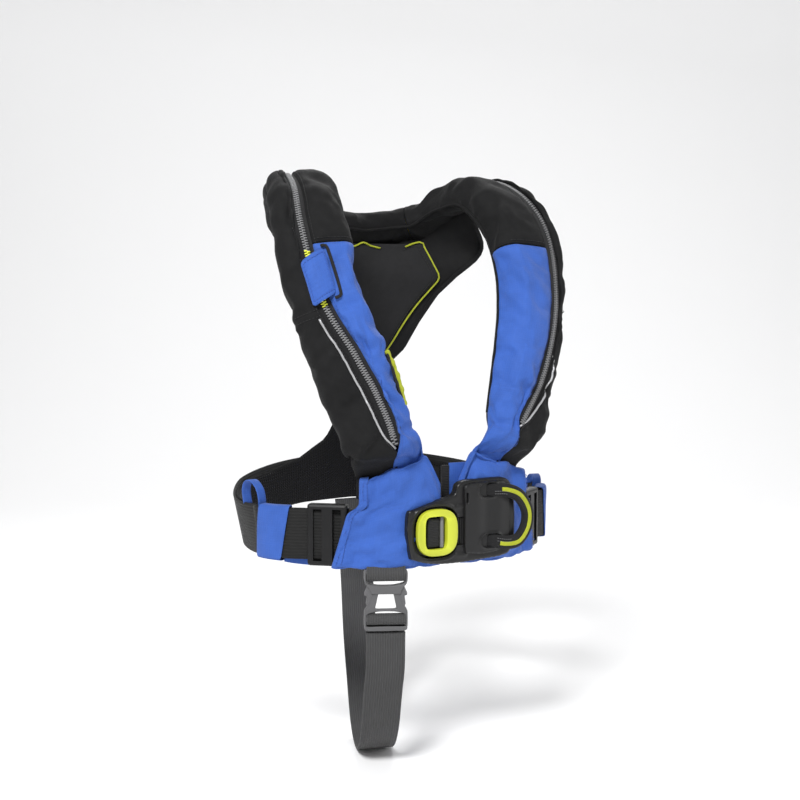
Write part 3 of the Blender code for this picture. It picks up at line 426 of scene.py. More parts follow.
class Cloth:
    """A grid of points that becomes one piece of cloth, with its puff from a cloth simulation."""

    def __init__(self, name, points, look, thick=0.0011, hold=(), outward=None):
        self.name, self.look, self.thick = name, look, thick
        self.points = np.asarray(points, float)
        self.rest = self.points.copy()
        self.rows, self.columns = self.points.shape[:2]
        self.hold = np.zeros((self.rows, self.columns), bool)
        self.hold[0] = self.hold[-1] = True
        self.hold[:, 0] = self.hold[:, -1] = True
        for rows, columns in hold:
            self.hold[rows, columns] = True
        self.flip = False
        if outward is not None:
            self.flip = self.normals()[self.rows // 2, self.columns // 3] @ outward < 0

    def normals(self):
        along = np.gradient(self.points, axis=0)
        across = np.gradient(self.points, axis=1)
        found = np.cross(across, along)
        found /= np.linalg.norm(found, axis=2, keepdims=True) + 1e-12
        return -found if self.flip else found

    def faces(self):
        n = self.columns
        made = []
        for i in range(self.rows - 1):
            for j in range(n - 1):
                a = i * n + j
                face = (a, a + 1, a + n + 1, a + n)
                made.append(face[::-1] if self.flip else face)
        return made

    def puffed(self, pressure, growth, cap):
        self.pressure, self.growth, self.cap = pressure, growth, cap
        PUFFED.append(self)
        return self

    def creased(self, depth, long, short, lean, seed):
        """Adds soft slanting folds that fade out toward the held edges."""
        across, along = spread(self.rest)
        normals = self.normals()
        c, s = math.cos(lean), math.sin(lean)
        for i in range(self.rows):
            for j in range(self.columns):
                if self.hold[i, j]:
                    continue
                fade = smooth(min(j, self.columns - 1 - j), 2, 6)
                fade *= smooth(min(i, self.rows - 1 - i), 0, 4)
                u, v = across[i, j], along[i, j]
                place = Vector(((u * c + v * s) / long, (v * c - u * s) / short, seed))
                soft, sharp = noise.noise(place), noise.noise(place * 0.8 + Vector((3.1, 7.7, 1.3)))
                fold = 0.75 * soft + 0.45 * (0.3 - min(1.0, abs(4.0 * sharp)))
                self.points[i, j] += normals[i, j] * depth * fade * fold

    def at(self, row, distance, lift=0.0):
        """Point this far across a row from its first column, and its normal."""
        i = min(max(row, 0.0), self.rows - 1.001)
        low, f = int(i), i - int(i)
        line = self.points[low] * (1 - f) + self.points[low + 1] * f
        facing = self.normals()
        face = facing[low] * (1 - f) + facing[low + 1] * f
        length = lengths(line)
        normal = unit(look_up(distance, length, face))
        return look_up(distance, length, line) + normal * lift, normal

    def build(self):
        verts = self.points.reshape(-1, 3)
        across, along = spread(self.rest)
        uvs = np.stack([across.ravel(), along.ravel()], axis=1)
        obj = new_object(self.name, verts, self.faces(), self.look, uvs)
        if self.thick:
            solid = obj.modifiers.new("thickness", "SOLIDIFY")
            solid.thickness, solid.offset = self.thick, -1.0
        soften(obj)
        return obj


PUFFED = []
FRAMES = 24
# Depth and slant of the folds in each kind of cloth.
CREASES = {
    "cover": (0.004, 0.5), "facing": (0.0074, 0.75), "shoulder": (0.0046, 0.6),
    "collar": (0.003, 1.2),
}
# Pressure, how much the cloth grows and the furthest that a point moves, in metres.
PUFF = {
    "cover": (2.2, 0.055, 0.0045), "facing": (2.4, 0.105, 0.006),
    "shoulder": (2.2, 0.075, 0.005), "collar": (2.2, 0.03, 0.004), "sleeve": (3.0, 0.09, 0.005),
}


def run_cloth():
    """Blows up every padded cloth at once, holding its seams, and caps how far a point moves."""
    if not PUFFED:
        return
    scene = bpy.context.scene
    scene.frame_start, scene.frame_end = 1, FRAMES
    trials = []
    for cloth in PUFFED:
        obj = new_object("trial", cloth.points.reshape(-1, 3), cloth.faces(), cloth.look)
        group = obj.vertex_groups.new(name="hold")
        group.add([int(i) for i in np.flatnonzero(cloth.hold.ravel())], 1.0, "REPLACE")
        modifier = obj.modifiers.new("cloth", "CLOTH")
        settings = modifier.settings
        settings.quality = 6
        settings.mass = 0.12
        settings.tension_stiffness = settings.compression_stiffness = 12.0
        settings.shear_stiffness = 4.0
        settings.bending_stiffness = 0.15
        settings.use_pressure = True
        settings.uniform_pressure_force = cloth.pressure
        settings.shrink_min = -cloth.growth
        settings.vertex_group_mass = "hold"
        settings.effector_weights.gravity = 0.0
        modifier.collision_settings.use_collision = False
        modifier.point_cache.frame_start, modifier.point_cache.frame_end = 1, FRAMES
        trials.append(obj)
    for number in range(1, FRAMES + 1):
        scene.frame_set(number)
    graph = bpy.context.evaluated_depsgraph_get()
    for cloth, obj in zip(PUFFED, trials):
        moved = np.empty(cloth.rows * cloth.columns * 3)
        obj.evaluated_get(graph).data.vertices.foreach_get("co", moved)
        shift = moved.reshape(cloth.points.shape) - cloth.points
        size = np.linalg.norm(shift, axis=2, keepdims=True)
        share = cloth.cap * np.tanh(size / cloth.cap) / (size + 1e-9)
        cloth.points = cloth.points + shift * share
        bpy.data.objects.remove(obj, do_unlink=True)
    scene.frame_set(1)


def dress(obj, *nodes, slot=None, body=ROOT):
    """The piece rides on its body and stands for its CAD nodes."""
    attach(obj, body)
    if nodes:
        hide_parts(*nodes)
    return obj


def tube(name, path, radius, look, up, sides=8, flat=1.0):
    """A rod along a path; flat squeezes it along the up directions."""
    path = np.asarray(path, float)
    count = len(path)
    radii = np.broadcast_to(np.asarray(radius, float), (count,))
    tangents = np.gradient(path, axis=0)
    verts, uvs = [], []
    length = lengths(path)
    for i in range(count):
        tangent = unit(tangents[i])
        lift = np.asarray(up[i] if np.ndim(up) == 2 else up, float)
        lift = unit(lift - tangent * (lift @ tangent))
        across = np.cross(tangent, lift)
        for j in range(sides):
            angle = 2 * math.pi * j / sides
            off = across * math.cos(angle) * radii[i]
            verts.append(path[i] + off + lift * math.sin(angle) * radii[i] * flat)
            uvs.append((radii[i] * angle, length[i]))
    return new_object(name, verts, loft(count, sides), look, uvs)


def ribbon(name, centres, sides, ups, wide, thick, look, edge=0.3):
    """Flat webbing with rounded edges; wide may vary along it."""
    centres = np.asarray(centres, float)
    count = len(centres)
    wides = np.broadcast_to(np.asarray(wide, float), (count,))
    length = lengths(centres)
    verts, uvs = [], []
    for i in range(count):
        half, deep = wides[i] / 2, thick / 2
        inner = half - deep * 0.8
        section = [(-half, -edge * deep), (-inner, -deep)]
        section += [(inner * k / 3, -deep) for k in (-2, -1, 0, 1, 2)]
        section += [(inner, -deep), (half, -edge * deep), (half, edge * deep), (inner, deep)]
        section += [(inner * k / 3, deep) for k in (2, 1, 0, -1, -2)]
        section += [(-inner, deep), (-half, edge * deep)]
        for u, n in section:
            verts.append(centres[i] + np.asarray(sides[i]) * u + np.asarray(ups[i]) * n)
            uvs.append((u, length[i]))
    n = len(verts) // count
    faces = [tuple(range(n)), tuple(range(len(verts) - 1, len(verts) - n - 1, -1))]
    for i in range(count - 1):
        for j in range(n):
            k = (j + 1) % n
            faces.append((i * n + k, i * n + j, (i + 1) * n + j, (i + 1) * n + k))
    obj = new_object(name, verts, faces, look, uvs)
    fix_normals(obj)
    return obj


def fix_normals(obj):
    build = bmesh.new()
    build.from_mesh(obj.data)
    bmesh.ops.recalc_face_normals(build, faces=build.faces[:])
    build.to_mesh(obj.data)
    build.free()


def joined(name, pieces, look):
    """One object from many (verts, faces) pieces."""
    verts, faces = [], []
    for more, shape in pieces:
        start = len(verts)
        verts.extend(more)
        faces.extend(tuple(start + i for i in face) for face in shape)
    return new_object(name, verts, faces, look)


def stitch(start, stop, normal, radius):
    """One thread stitch: a rod that dips at both ends."""
    start, stop = np.asarray(start), np.asarray(stop)
    tangent = unit(stop - start)
    lift = unit(normal)
    across = np.cross(tangent, lift)
    verts = []
    for share, high in ((0.0, -0.8), (0.22, 0.6), (0.78, 0.6), (1.0, -0.8)):
        centre = start + (stop - start) * share + lift * radius * high
        for j in range(5):
            angle = 2 * math.pi * j / 5
            verts.append(centre + (across * math.cos(angle) + lift * math.sin(angle)) * radius)
    return verts, loft(4, 5)


def seam(path, normals, pitch=0.0034, share=0.68, radius=0.00032):
    """Stitches along a path, with its outward normals."""
    path, normals = np.asarray(path, float), np.asarray(normals, float)
    length = lengths(path)
    found = []
    for i in range(int(length[-1] / pitch)):
        low, high = i * pitch, i * pitch + pitch * share
        middle = look_up((low + high) / 2, length, normals)
        start, stop = look_up(low, length, path), look_up(high, length, path)
        found.append(stitch(start, stop, middle, radius))
    return found


def sewn(line):
    """Stitches through (point, normal) pairs."""
    return seam([point for point, _ in line], [normal for _, normal in line])


# ---------------------------------------------------------------- the belt's path

BELT_PATH = (
    (0.000, -0.118), (0.03, -0.1175), (0.058, -0.115), (0.082, -0.1045),
    (0.098, -0.0915), (0.114, -0.0785), (0.13, -0.0655), (0.146, -0.0525),
    (0.159, -0.03), (0.164, 0.005), (0.158, 0.038), (0.137, 0.073),
    (0.098, 0.095), (0.051, 0.106), (0.000, 0.1085),
)
BELT_HALF_HEIGHT, BELT_THICK = 0.025, 0.0024
BELT_BACK_RISE = 2.5  # metres of rise for each square metre that the path goes back
BELT_LEAN = 0.2  # how far the side of the belt leans out for its height
SLEEVE_SPAN, SLEEVE_STEP = (0.012, 0.1018), 0.0036
KEEPER_SPAN = (0.164, 0.1955)
TAIL_SPAN = (0.125, 0.2)

BELT_POINTS = dense_spline(BELT_PATH)
BELT_LENGTHS = lengths(BELT_POINTS)
HALF_BELT = float(BELT_LENGTHS[-1])


def belt_xy(along):
    side = 1.0
    if along < 0:
        along, side = -along, -1.0
    if along > HALF_BELT:
        along, side = 2 * HALF_BELT - along, -side
    x = np.interp(along, BELT_LENGTHS, BELT_POINTS[:, 0])
    y = np.interp(along, BELT_LENGTHS, BELT_POINTS[:, 1])
    return np.array((side * x, y))


def belt_frame(along):
    """Point at mid-height, tangent, outward direction and upward direction of the leaning belt."""
    here = belt_xy(along)
    tangent = unit(belt_xy(along + 0.002) - belt_xy(along - 0.002))
    out = np.array((tangent[1], -tangent[0], 0.0))
    off = min(abs(along), 2 * HALF_BELT - abs(along))
    lean = BELT_LEAN * float(np.interp(off, (0.17, 0.23, 0.3, 0.38), (0.0, 1.0, 1.0, 0.0)))
    rise = BELT_BACK_RISE * max(0.0, here[1]) ** 2
    return np.array((*here, rise)), np.array((*tangent, 0.0)), out, out * lean + UP


def sleeve_top(s):
    """Height of the waist sleeve's top edge at this distance along the belt."""
    return float(np.interp(abs(s), (0.01, 0.0235, 0.029, 0.058, 0.093, 0.104),
                           (0.0435, 0.068, 0.077, 0.0665, 0.0555, 0.054)))


# ---------------------------------------------------------------- lobes

# Stations of a lobe from inside the waist sleeve over the shoulder to the nape: centre, direction
# away from the body, half width, half thickness and how far outward of the middle the zip lies.
LOBE = (
    ((0.069, -0.112, 0.036), (0.24, -1.0, 0.0), 0.029, 0.0035, -0.009),
    ((0.0705, -0.116, 0.058), (0.24, -1.0, 0.0), 0.03, 0.005, -0.009),
    ((0.072, -0.119, 0.075), (0.24, -1.0, 0.0), 0.032, 0.008, -0.0095),
    ((0.0735, -0.121, 0.084), (0.26, -1.0, 0.0), 0.034, 0.0125, -0.0105),
    ((0.078, -0.1165, 0.1), (0.28, -1.0, 0.1), 0.037, 0.0165, -0.0105),
    ((0.088, -0.1085, 0.133), (0.3, -1.0, 0.1), 0.0385, 0.0175, -0.004),
    ((0.099, -0.1015, 0.168), (0.3, -1.0, 0.2), 0.04, 0.0175, 0.003),
    ((0.109, -0.091, 0.208), (0.3, -1.0, 0.4), 0.0392, 0.0175, 0.009),
    ((0.116, -0.0755, 0.248), (0.28, -1.0, 0.7), 0.038, 0.0175, 0.012),
    ((0.1175, -0.057, 0.286), (0.2, -1.0, 1.3), 0.0385, 0.0175, 0.014),
    ((0.1125, -0.032, 0.317), (0.05, -0.5, 1.4), 0.0385, 0.0175, 0.014),
    ((0.105, 0.003, 0.333), (0.00, 0.0, 1.0), 0.035, 0.017, 0.0135),
    ((0.093, 0.04, 0.3235), (0.03, 0.4, 1.0), 0.033, 0.0165, 0.012),
    ((0.073, 0.074, 0.3045), (0.1, 0.6, 1.0), 0.0315, 0.0155, 0.008),
    ((0.044, 0.092, 0.297), (0.05, 0.7, 1.0), 0.031, 0.0145, 0.004),
    ((0.0000, 0.098, 0.292), (0.00, 0.7, 1.0), 0.03, 0.014, 0.002),
)
NAPE = len(LOBE) - 1
FACING_TOP, COVER_TOP = 8.6, 13.4
ZIP_START, BURST_FROM, BURST_TO = 3.15, 7.2, 8.45
LEFT_HIGHER = 0.75  # the left zip ends this many stations higher
CROSS_SEAM = 7.12
HANDLE_SPAN = (4.44, 5.94)
PIPING_FROM, PIPING_TO = 2.95, 7.0
CHANNEL = 0.0072  # half width of the channel that the zip lies in
CELL = 0.0042  # side of one cloth cell
TUCK_BELOW, BINDING_FROM = 4.2, 4.1
HELD_BELOW = 0.072  # metres up: lobe cloth lower than this is held inside the waist sleeve
# Half widths of the facing low down, where it flares out of the sleeve: stations and metres.
FLARE = ((1.0, 2.25, 2.85, 3.7, 4.5), (0.046, 0.044, 0.0405, 0.0345, 0.033))


def zip_sway(at, side):
    """How the zip wanders off its sewn line as the jacket hangs on a body."""
    if side == RIGHT:
        return -0.007 * smooth(at, 3.6, 5.4) * (1 - smooth(at, 6.0, 7.4))
    return 0.0095 * smooth(at, 3.6, 5.4) * (1 - smooth(at, 9.0, 11.0))


def lobe_at(at, side):
    """Centre, tangent, outward side, direction away from the body, half width and thickness, and
    how far outward the zip lies."""
    at = min(max(at, 0.0), NAPE)
    columns = [[row[i] for row in LOBE] for i in range(5)]
    centre = spline(columns[0], at)
    ahead, behind = min(at + 0.05, NAPE), max(at - 0.05, 0.0)
    tangent = unit(spline(columns[0], ahead) - spline(columns[0], behind))
    if at > NAPE - 0.2:
        tangent = np.array((-1.0, 0.0, 0.0))
    away = spline(columns[1], at)
    away = unit(away - tangent * (away @ tangent))
    across = np.cross(away, tangent)
    outward = (1.0, 0.0, 0.0) if at < NAPE - 4 else (0.3, 1.0, -0.6)
    if across @ np.array(outward) < 0:
        across = -across
    values = [float(spline(column, at)) for column in columns[2:]]
    values[2] += zip_sway(at, side)
    flip = np.array((side, 1.0, 1.0))
    return (centre * flip, tangent * flip, across * flip, away * flip, *values)


STATIONS = np.linspace(0, NAPE, 601)
CENTRES = np.array([lobe_at(at, LEFT)[0] for at in STATIONS])
LOBE_LENGTHS = lengths(CENTRES)


def evenly(start, stop, step):
    """Stations evenly spaced along the lobe."""
    low, high = np.interp((start, stop), STATIONS, LOBE_LENGTHS)
    count = max(2, int(round(abs(high - low) / step)) + 1)
    wanted = np.linspace(low, high, count)
    return [float(np.interp(length, LOBE_LENGTHS, STATIONS)) for length in wanted]


def over_nape(start, step):
    """(station, side) pairs from one lobe over the nape to the other."""
    half = evenly(start, NAPE, step)
    return [(at, RIGHT) for at in half] + [(at, LEFT) for at in half[-2::-1]]


def section(at, side, line):
    """Points of a section line, each given as outward and away distances."""
    centre, _, across, away, half_width, half_thick, zip_at = lobe_at(at, side)
    places = line(at, side, half_width, half_thick, zip_at)
    points = [centre + across * u + away * n for u, n in places]
    return [tucked(point, side) for point in points] if at < TUCK_BELOW else points


def arc(middle, radius, start, stop, count, side):
    angles = [math.radians(start + (stop - start) * i / (count - 1)) for i in range(count)]
    return [(middle + side * radius * math.cos(a), radius * math.sin(a)) for a in angles]


def fold(edge, level, side):
    """The turned edge of the cloth beside the zip."""
    return [(edge, level - 0.003), (edge + side * 0.0001, level - 0.0012),
            (edge + side * 0.001, level)]


def below_zip(at, side):
    """1 below the zip's end, where the facing laps over the cover, and 0 along the zip."""
    end = ZIP_START + (LEFT_HIGHER if side == LEFT else 0.0)
    return 1.0 - smooth(at, end - 0.45, end + 0.35)


def tucked(point, side):
    """Low on the lobe its cloth passes behind the waist sleeve's front, close to the belt."""
    flat = point * np.array((side, 1.0, 1.0))
    gaps = np.linalg.norm(BELT_POINTS - flat[:2], axis=1)
    nearest = int(np.argmin(gaps))
    along = float(BELT_LENGTHS[nearest])
    out = belt_frame(along)[2]
    ahead = float((flat[:2] - BELT_POINTS[nearest]) @ out[:2])
    free = smooth(flat[2], sleeve_top(along) - 0.004, sleeve_top(along) + 0.018)
    flat = flat + out * (min(ahead, -0.001) - ahead) * (1 - free)
    return flat * np.array((side, 1.0, 1.0))


def cover_line(at, side, half_width, half_thick, zip_at):
    """Round the outer edge and the back, from the zip to the seam beside the neck."""
    edge, turn = zip_at + CHANNEL - 0.01 * below_zip(at, side), half_width - half_thick
    # Low down the facing laps right over the edge beside the neck.
    neck = turn - 0.013 * (1 - smooth(at, 2.6, 4.2))
    if side == LEFT:
        turn -= 0.009 * (1 - smooth(at, 2.8, 4.6))
    else:
        turn -= 0.003 * smooth(at, 8.0, 9.5) * (1 - smooth(at, 11.5, 13.0))
    line = fold(edge, half_thick, 1)
    start = edge + 0.001
    line += [(start + (turn - start) * k / 6, half_thick + 0.0006 * math.sin(math.pi * k / 6))
             for k in range(1, 6)]
    line += arc(turn, half_thick, 90, -90, 13, 1)
    line += [(turn - (turn + neck) * k / 7, -half_thick) for k in range(1, 7)]
    line += arc(-neck, half_thick, -90, -40, 5, -1)
    return line + [(line[-1][0] + 0.0018, line[-1][1] + 0.0012)]


def facing_line(at, side, half_width, half_thick, zip_at):
    """From the zip round the edge beside the neck to the same seam; it laps over the zip's end."""
    lap = below_zip(at, side)
    edge, level = zip_at - CHANNEL + 0.0062 * lap, half_thick + 0.0016 * lap
    turn = max(half_width, float(np.interp(at, *FLARE))) - half_thick
    line = fold(edge, level, -1)
    start = edge - 0.001
    for k in range(1, 7):
        rise = (half_thick - level) * k / 7 + 0.0008 * math.sin(math.pi * k / 7)
        line.append((start + (-turn - start) * k / 7, level + rise))
    line += arc(-turn, half_thick, 90, -37 - 20 * smooth(at, 12.0, 13.6), 11, -1)
    return line + [(line[-1][0] + 0.0022, line[-1][1] - 0.0008)]


def lobe_cloth(name, line, places, look, seams=()):
    points = np.array([section(at, side, line) for at, side in places])
    hold = [(slice(None), slice(0, 3)), (slice(None), slice(-2, None))]
    for at in seams:
        row = int(np.argmin([abs(place[0] - at) for place in places]))
        hold.append((slice(row, row + 1), slice(None)))
        away = lobe_at(*places[row])[3]
        inner = points[row, 3:-2] - lobe_at(*places[row])[0]
        points[row, 3:-2] -= 0.001 * inner / np.linalg.norm(inner, axis=1, keepdims=True)
        points[row, :3] -= away * 0.0002
    middle = places[len(places) // 2]
    outward = lobe_at(*middle)[3]
    cloth = Cloth(name, points, look, hold=hold, outward=outward)
    for row, (at, _) in enumerate(places):
        if at < TUCK_BELOW:
            cloth.hold[row] |= points[row, :, 2] < HELD_BELOW
    return cloth


def make_lobes():
    """The cloth of both lobes and the collar, before the simulation."""
    made = {}

    def add(name, line, places, look, seams=()):
        cloth = lobe_cloth(name, line, places, look, seams)
        made[name] = cloth.puffed(*PUFF[name.split("_")[0]]), places

    for side, word in SIDES:
        whole = [(at, side) for at in evenly(0.0, COVER_TOP, CELL)]
        add(f"cover_{word}", cover_line, whole, "black", (CROSS_SEAM,))
        low = [(at, side) for at in evenly(0.0, FACING_TOP, CELL)]
        add(f"facing_{word}", facing_line, low, "blue")
        high = [(at, side) for at in evenly(FACING_TOP, COVER_TOP, CELL)]
        add(f"shoulder_panel_{word}", facing_line, high, "black")
    nape = over_nape(COVER_TOP, CELL)
    add("collar_cover", cover_line, nape, "black")
    add("collar_pad", facing_line, nape, "collar")
    return made


def row_of(places, at, side):
    """Fractional row of a station on one side."""
    rows = [i for i, place in enumerate(places) if place[1] == side]
    stations = [places[i][0] for i in rows]
    if stations[0] > stations[-1]:
        rows, stations = rows[::-1], stations[::-1]
    return float(np.interp(at, stations, rows))


def edge_seam(cloth, places, side, start, stop, distance, step=0.004):
    """Path and normals at a constant distance from the cloth's first edge."""
    path, normals = [], []
    for at in evenly(start, stop, step):
        off = distance(at) if callable(distance) else distance
        point, normal = cloth.at(row_of(places, at, side), off, STITCH_LIFT)
        path.append(point)
        normals.append(normal)
    return path, normals


def seam_binding(lobes):
    """Black cord all the way round the seam that joins the cloth beside the neck to the back."""
    path = []
    for side, word in SIDES:
        half = []
        for name in (f"facing_{word}", f"shoulder_panel_{word}", "collar_pad"):
            cloth, places = lobes[name]
            facing = cloth.normals()
            rows = [i for i, (at, hand) in enumerate(places) if at > BINDING_FROM and hand == side]
            found = [cloth.points[i, -2] + facing[i, -2] * 0.0003 for i in rows]
            if half and math.dist(found[0], half[-1]) > math.dist(found[-1], half[-1]):
                found = found[::-1]
            half += found[1:] if half else found
        path = half if side == RIGHT else path + half[::-1]
    path = along_spline(path[::2], 0.004)
    cord = tube("seam_binding", path, 0.0014, "black", (0.0, -1.0, 0.2))
    dress(cord, slot="black_fabric")


def zip_frames(start, stop, side):
    """Places of the teeth: (point, along, across, away) for each pitch of the chain."""
    found = []
    for at in evenly(start, stop, 0.0012):
        centre, tangent, across, away, _, thick, zip_at = lobe_at(at, side)
        found.append((centre + across * zip_at + away * (thick - 0.001), tangent, across, away))
    return found


def tooth(place, hand):
    """One moulded tooth: a block whose head is rounded over the chain's middle."""
    point, along, across, away = place
    outline = ((-0.0006, 0.0), (0.0028, 0.0), (0.003, 0.0007), (0.0024, 0.0013),
               (0.0002, 0.0013), (-0.0006, 0.0008))
    verts = []
    for shift, trim in ((-0.00072, 0.85), (-0.00045, 1.0), (0.00045, 1.0), (0.00072, 0.85)):
        for u, n in outline:
            off = across * (hand * (u * trim + 0.0001))
            verts.append(point + along * shift + off + away * (n * trim))
    faces = loft(4, 6)
    if hand < 0:
        faces = [face[::-1] for face in faces]
    return verts, faces


def teeth(name, frames, look):
    """Teeth on alternate sides of the chain."""
    hands = [1 if i % 2 else -1 for i in range(len(frames))]
    obj = joined(name, [tooth(place, hand) for place, hand in zip(frames, hands)], look)
    fix_normals(obj)
    dress(obj, name, slot="zip_teeth" if look == "teeth" else "lime_plastic")


def zip_tape():
    """The woven tape in the channel, in one run over the nape."""
    half = ((-0.0105, -0.003), (-0.0078, -0.0012), (-0.005, -0.0002), (-0.0034, 0.0))
    profile = [*half, (0.0, -0.0002), *[(-u, n) for u, n in reversed(half)]]
    rows = []
    for at, side in over_nape(ZIP_START - 0.1, CELL):
        if side == LEFT and at < ZIP_START + LEFT_HIGHER + 0.05:
            continue
        centre, _, across, away, _, thick, zip_at = lobe_at(at, side)
        middle = centre + across * zip_at + away * (thick - 0.0012)
        rows.append([middle + across * u + away * n for u, n in profile])
    tape = Cloth("zip_tape", rows, "tape", thick=0.0007, outward=lobe_at(NAPE, LEFT)[3])
    dress(tape.build(), "zip_tape", slot="black_webbing")


def zips():
    zip_tape()
    right, left = zip_frames(BURST_TO, NAPE, RIGHT), zip_frames(ZIP_START + LEFT_HIGHER, NAPE, LEFT)
    teeth("zip_teeth", right + left[-2::-1], "teeth")
    teeth("zip_teeth_lower", zip_frames(ZIP_START, BURST_FROM, RIGHT), "teeth")
    teeth("burst_teeth", zip_frames(BURST_FROM, BURST_TO, RIGHT), "lime_teeth")


def piping_distance(at):
    """Off the cover's edge: parallel to the zip, then in to its end at the bottom."""
    return 0.0014 + 0.0052 * smooth(at, PIPING_FROM + 0.2, PIPING_FROM + 1.5)


def lobe_trim(lobes):
    """Piping and stitching, laid on the finished cloth."""
    black, blue = [], []
    for side, word in SIDES:
        cover, places = lobes[f"cover_{word}"]
        lift = LEFT_HIGHER if side == LEFT else 0.0
        path, normals = edge_seam(cover, places, side, PIPING_FROM + lift, PIPING_TO - 1.2 * lift,
                                  lambda at: piping_distance(at - lift))
        piping = tube(f"piping_{word}", path, 0.00105, "reflective", np.array(normals), sides=10)
        dress(piping, f"piping_{word}", slot="reflective")
        black += seam(*edge_seam(cover, places, side, 3.0, COVER_TOP, 0.0046))
        for shift in (-0.003, 0.003):
            row = row_of(places, CROSS_SEAM, side) + shift / CELL
            black += sewn([cover.at(row, d, 0.0003) for d in np.arange(0.006, 0.032, 0.004)])
        facing, places = lobes[f"facing_{word}"]
        blue += seam(*edge_seam(facing, places, side, 2.0, FACING_TOP - 0.1, 0.005))
        panel, places = lobes[f"shoulder_panel_{word}"]
        black += seam(*edge_seam(panel, places, side, FACING_TOP, COVER_TOP, 0.005))
        black += sewn([panel.at(0.9, d, 0.0003) for d in np.arange(0.004, 0.055, 0.004)])
    dress(joined("lobe_stitches", black, "black_thread"), slot="black_fabric")
    dress(joined("facing_stitches", blue, "blue_thread"), slot="blue_fabric")


# ---------------------------------------------------------------- belt


def belt_point(along, n, z):
    point, _, out, up = belt_frame(along)
    return point + out * n + up * z


def belt_ribbon(name, start, stop, look, offset, thick, half, wave=0.0, seed=0.0, taper=None):
    """Webbing along the belt; wave lets it bow slightly off its path."""
    count = max(3, int(abs(stop - start) / 0.004))
    centres, sides, ups = [], [], []
    for i in range(count + 1):
        along = start + (stop - start) * i / count
        point, _, out, up = belt_frame(along)
        lift = wave * ripple(point, 0.035, seed)
        centres.append(point + out * (offset + lift))
        sides.append(up)
        ups.append(out)
    wide = 2 * half if taper is None else [2 * half * taper(i / count) for i in range(count + 1)]
    return ribbon(name, centres, sides, ups, wide, thick, look)


def sleeve_line(s):
    """Closed section of the padded sleeve: (n, z) round its front, top, back and foot."""
    half, low, top = 0.0056, -0.0305, sleeve_top(s)
    heights = [low + (top - low) * k / 22 for k in range(23)]
    bulge = [0.0006 + 0.0012 * math.sin(math.pi * k / 22) for k in range(23)]
    front = [(half + b, z) for b, z in zip(bulge, heights)]
    back = [(-half - 0.4 * b, z) for b, z in zip(bulge, heights)][::-1]
    edge = half * 0.65
    crown = [(edge, top + 0.0016), (0.0, top + 0.0022), (-edge, top + 0.0016)]
    foot = [(-edge, low - 0.0012), (0.0, low - 0.0018), (edge, low - 0.0012)]
    line = front + crown + back + foot
    return line + [line[0]]


def mouth(s, z):
    """How far the sleeve's outer end reaches at each height: cut back above the belt."""
    end = SLEEVE_SPAN[1] + 0.31 * max(0.0, 0.0215 - z) - 0.0115 * smooth(z, 0.0215, 0.03)
    share = (s - SLEEVE_SPAN[0]) / (SLEEVE_SPAN[1] - SLEEVE_SPAN[0])
    return SLEEVE_SPAN[0] + (end - SLEEVE_SPAN[0]) * share


def make_sleeves():
    made = {}
    for side, word in SIDES:
        start, stop = SLEEVE_SPAN
        count = int((stop - start) / SLEEVE_STEP)
        rows = []
        for i in range(count + 1):
            s = start + (stop - start) * i / count
            lift = 0.0036 * smooth(s, 0.08, 0.096)
            rows.append([belt_point(side * mouth(s, z), n + (lift if n > 0 else 0.0), z)
                         for n, z in sleeve_line(s)])
        hem, turn = ([belt_point(side * (mouth(stop, z) + reach), n + (front if n > 0 else back), z)
                      for n, z in sleeve_line(stop)]
                     for reach, front, back in ((-0.008, 0.002, 0.0006), (0.0005, 0.0028, 0.0003)))
        closed = [belt_point(side * (start - 0.0002), n * 0.45, z * 0.98)
                  for n, z in sleeve_line(start)]
        rows = [closed] + rows + [turn, hem]
        hold = [(slice(-3, None), slice(None)), (slice(0, 2), slice(None)),
                (slice(None), slice(25, 49)), (slice(-8, -7), slice(4, 18))]
        out = belt_frame(side * 0.05)[2]
        sleeve = Cloth(f"waist_sleeve_{word}", rows, "blue", hold=hold, outward=-out)
        if sleeve.normals()[8, 10] @ out < 0:
            sleeve.flip = not sleeve.flip
        made[word] = sleeve.puffed(*PUFF["sleeve"])
    return made


def sleeve_trim(sleeves):
    """Two rows of stitches round the front of each sleeve's mouth."""
    lines = []
    for _, word in SIDES:
        cloth = sleeves[word]
        for shift in (0.004, 0.007):
            row = -3 - int(round(shift / SLEEVE_STEP))
            normals = cloth.normals()[row, 1:23]
            lines += seam(cloth.points[row, 1:23] + normals * STITCH_LIFT, normals)
    dress(joined("sleeve_stitches", lines, "blue_thread"), slot="blue_fabric")


def keeper(word, side):
    """A blue band sewn round the belt, a little taller than it and slanted."""
    start, stop = KEEPER_SPAN
    half, low, high = 0.0062, -0.0262, 0.0262
    rows = []
    for i in range(10):
        s = side * (start + (stop - start) * i / 9)
        line = [(half, low + (high - low) * k / 8) for k in range(9)]
        line += [(half * 0.5, high + 0.0012), (-half * 0.5, high + 0.0012)]
        line += [(-half, high + (low - high) * k / 8) for k in range(9)]
        line += [(-half * 0.5, low - 0.0012), (half * 0.5, low - 0.0012), (half, low)]
        rows.append([belt_point(s - side * 0.15 * z, n + 0.0006 * ripple((s, z, 0.0), 0.02), z)
                     for n, z in line])
    band = Cloth(f"belt_keeper_{word}", rows, "blue", thick=0.001)
    if band.normals()[5, 4] @ belt_frame(side * (start + stop) / 2)[2] < 0:
        band.flip = True
    dress(band.build(), f"belt_keeper_{word}", slot="blue_fabric")


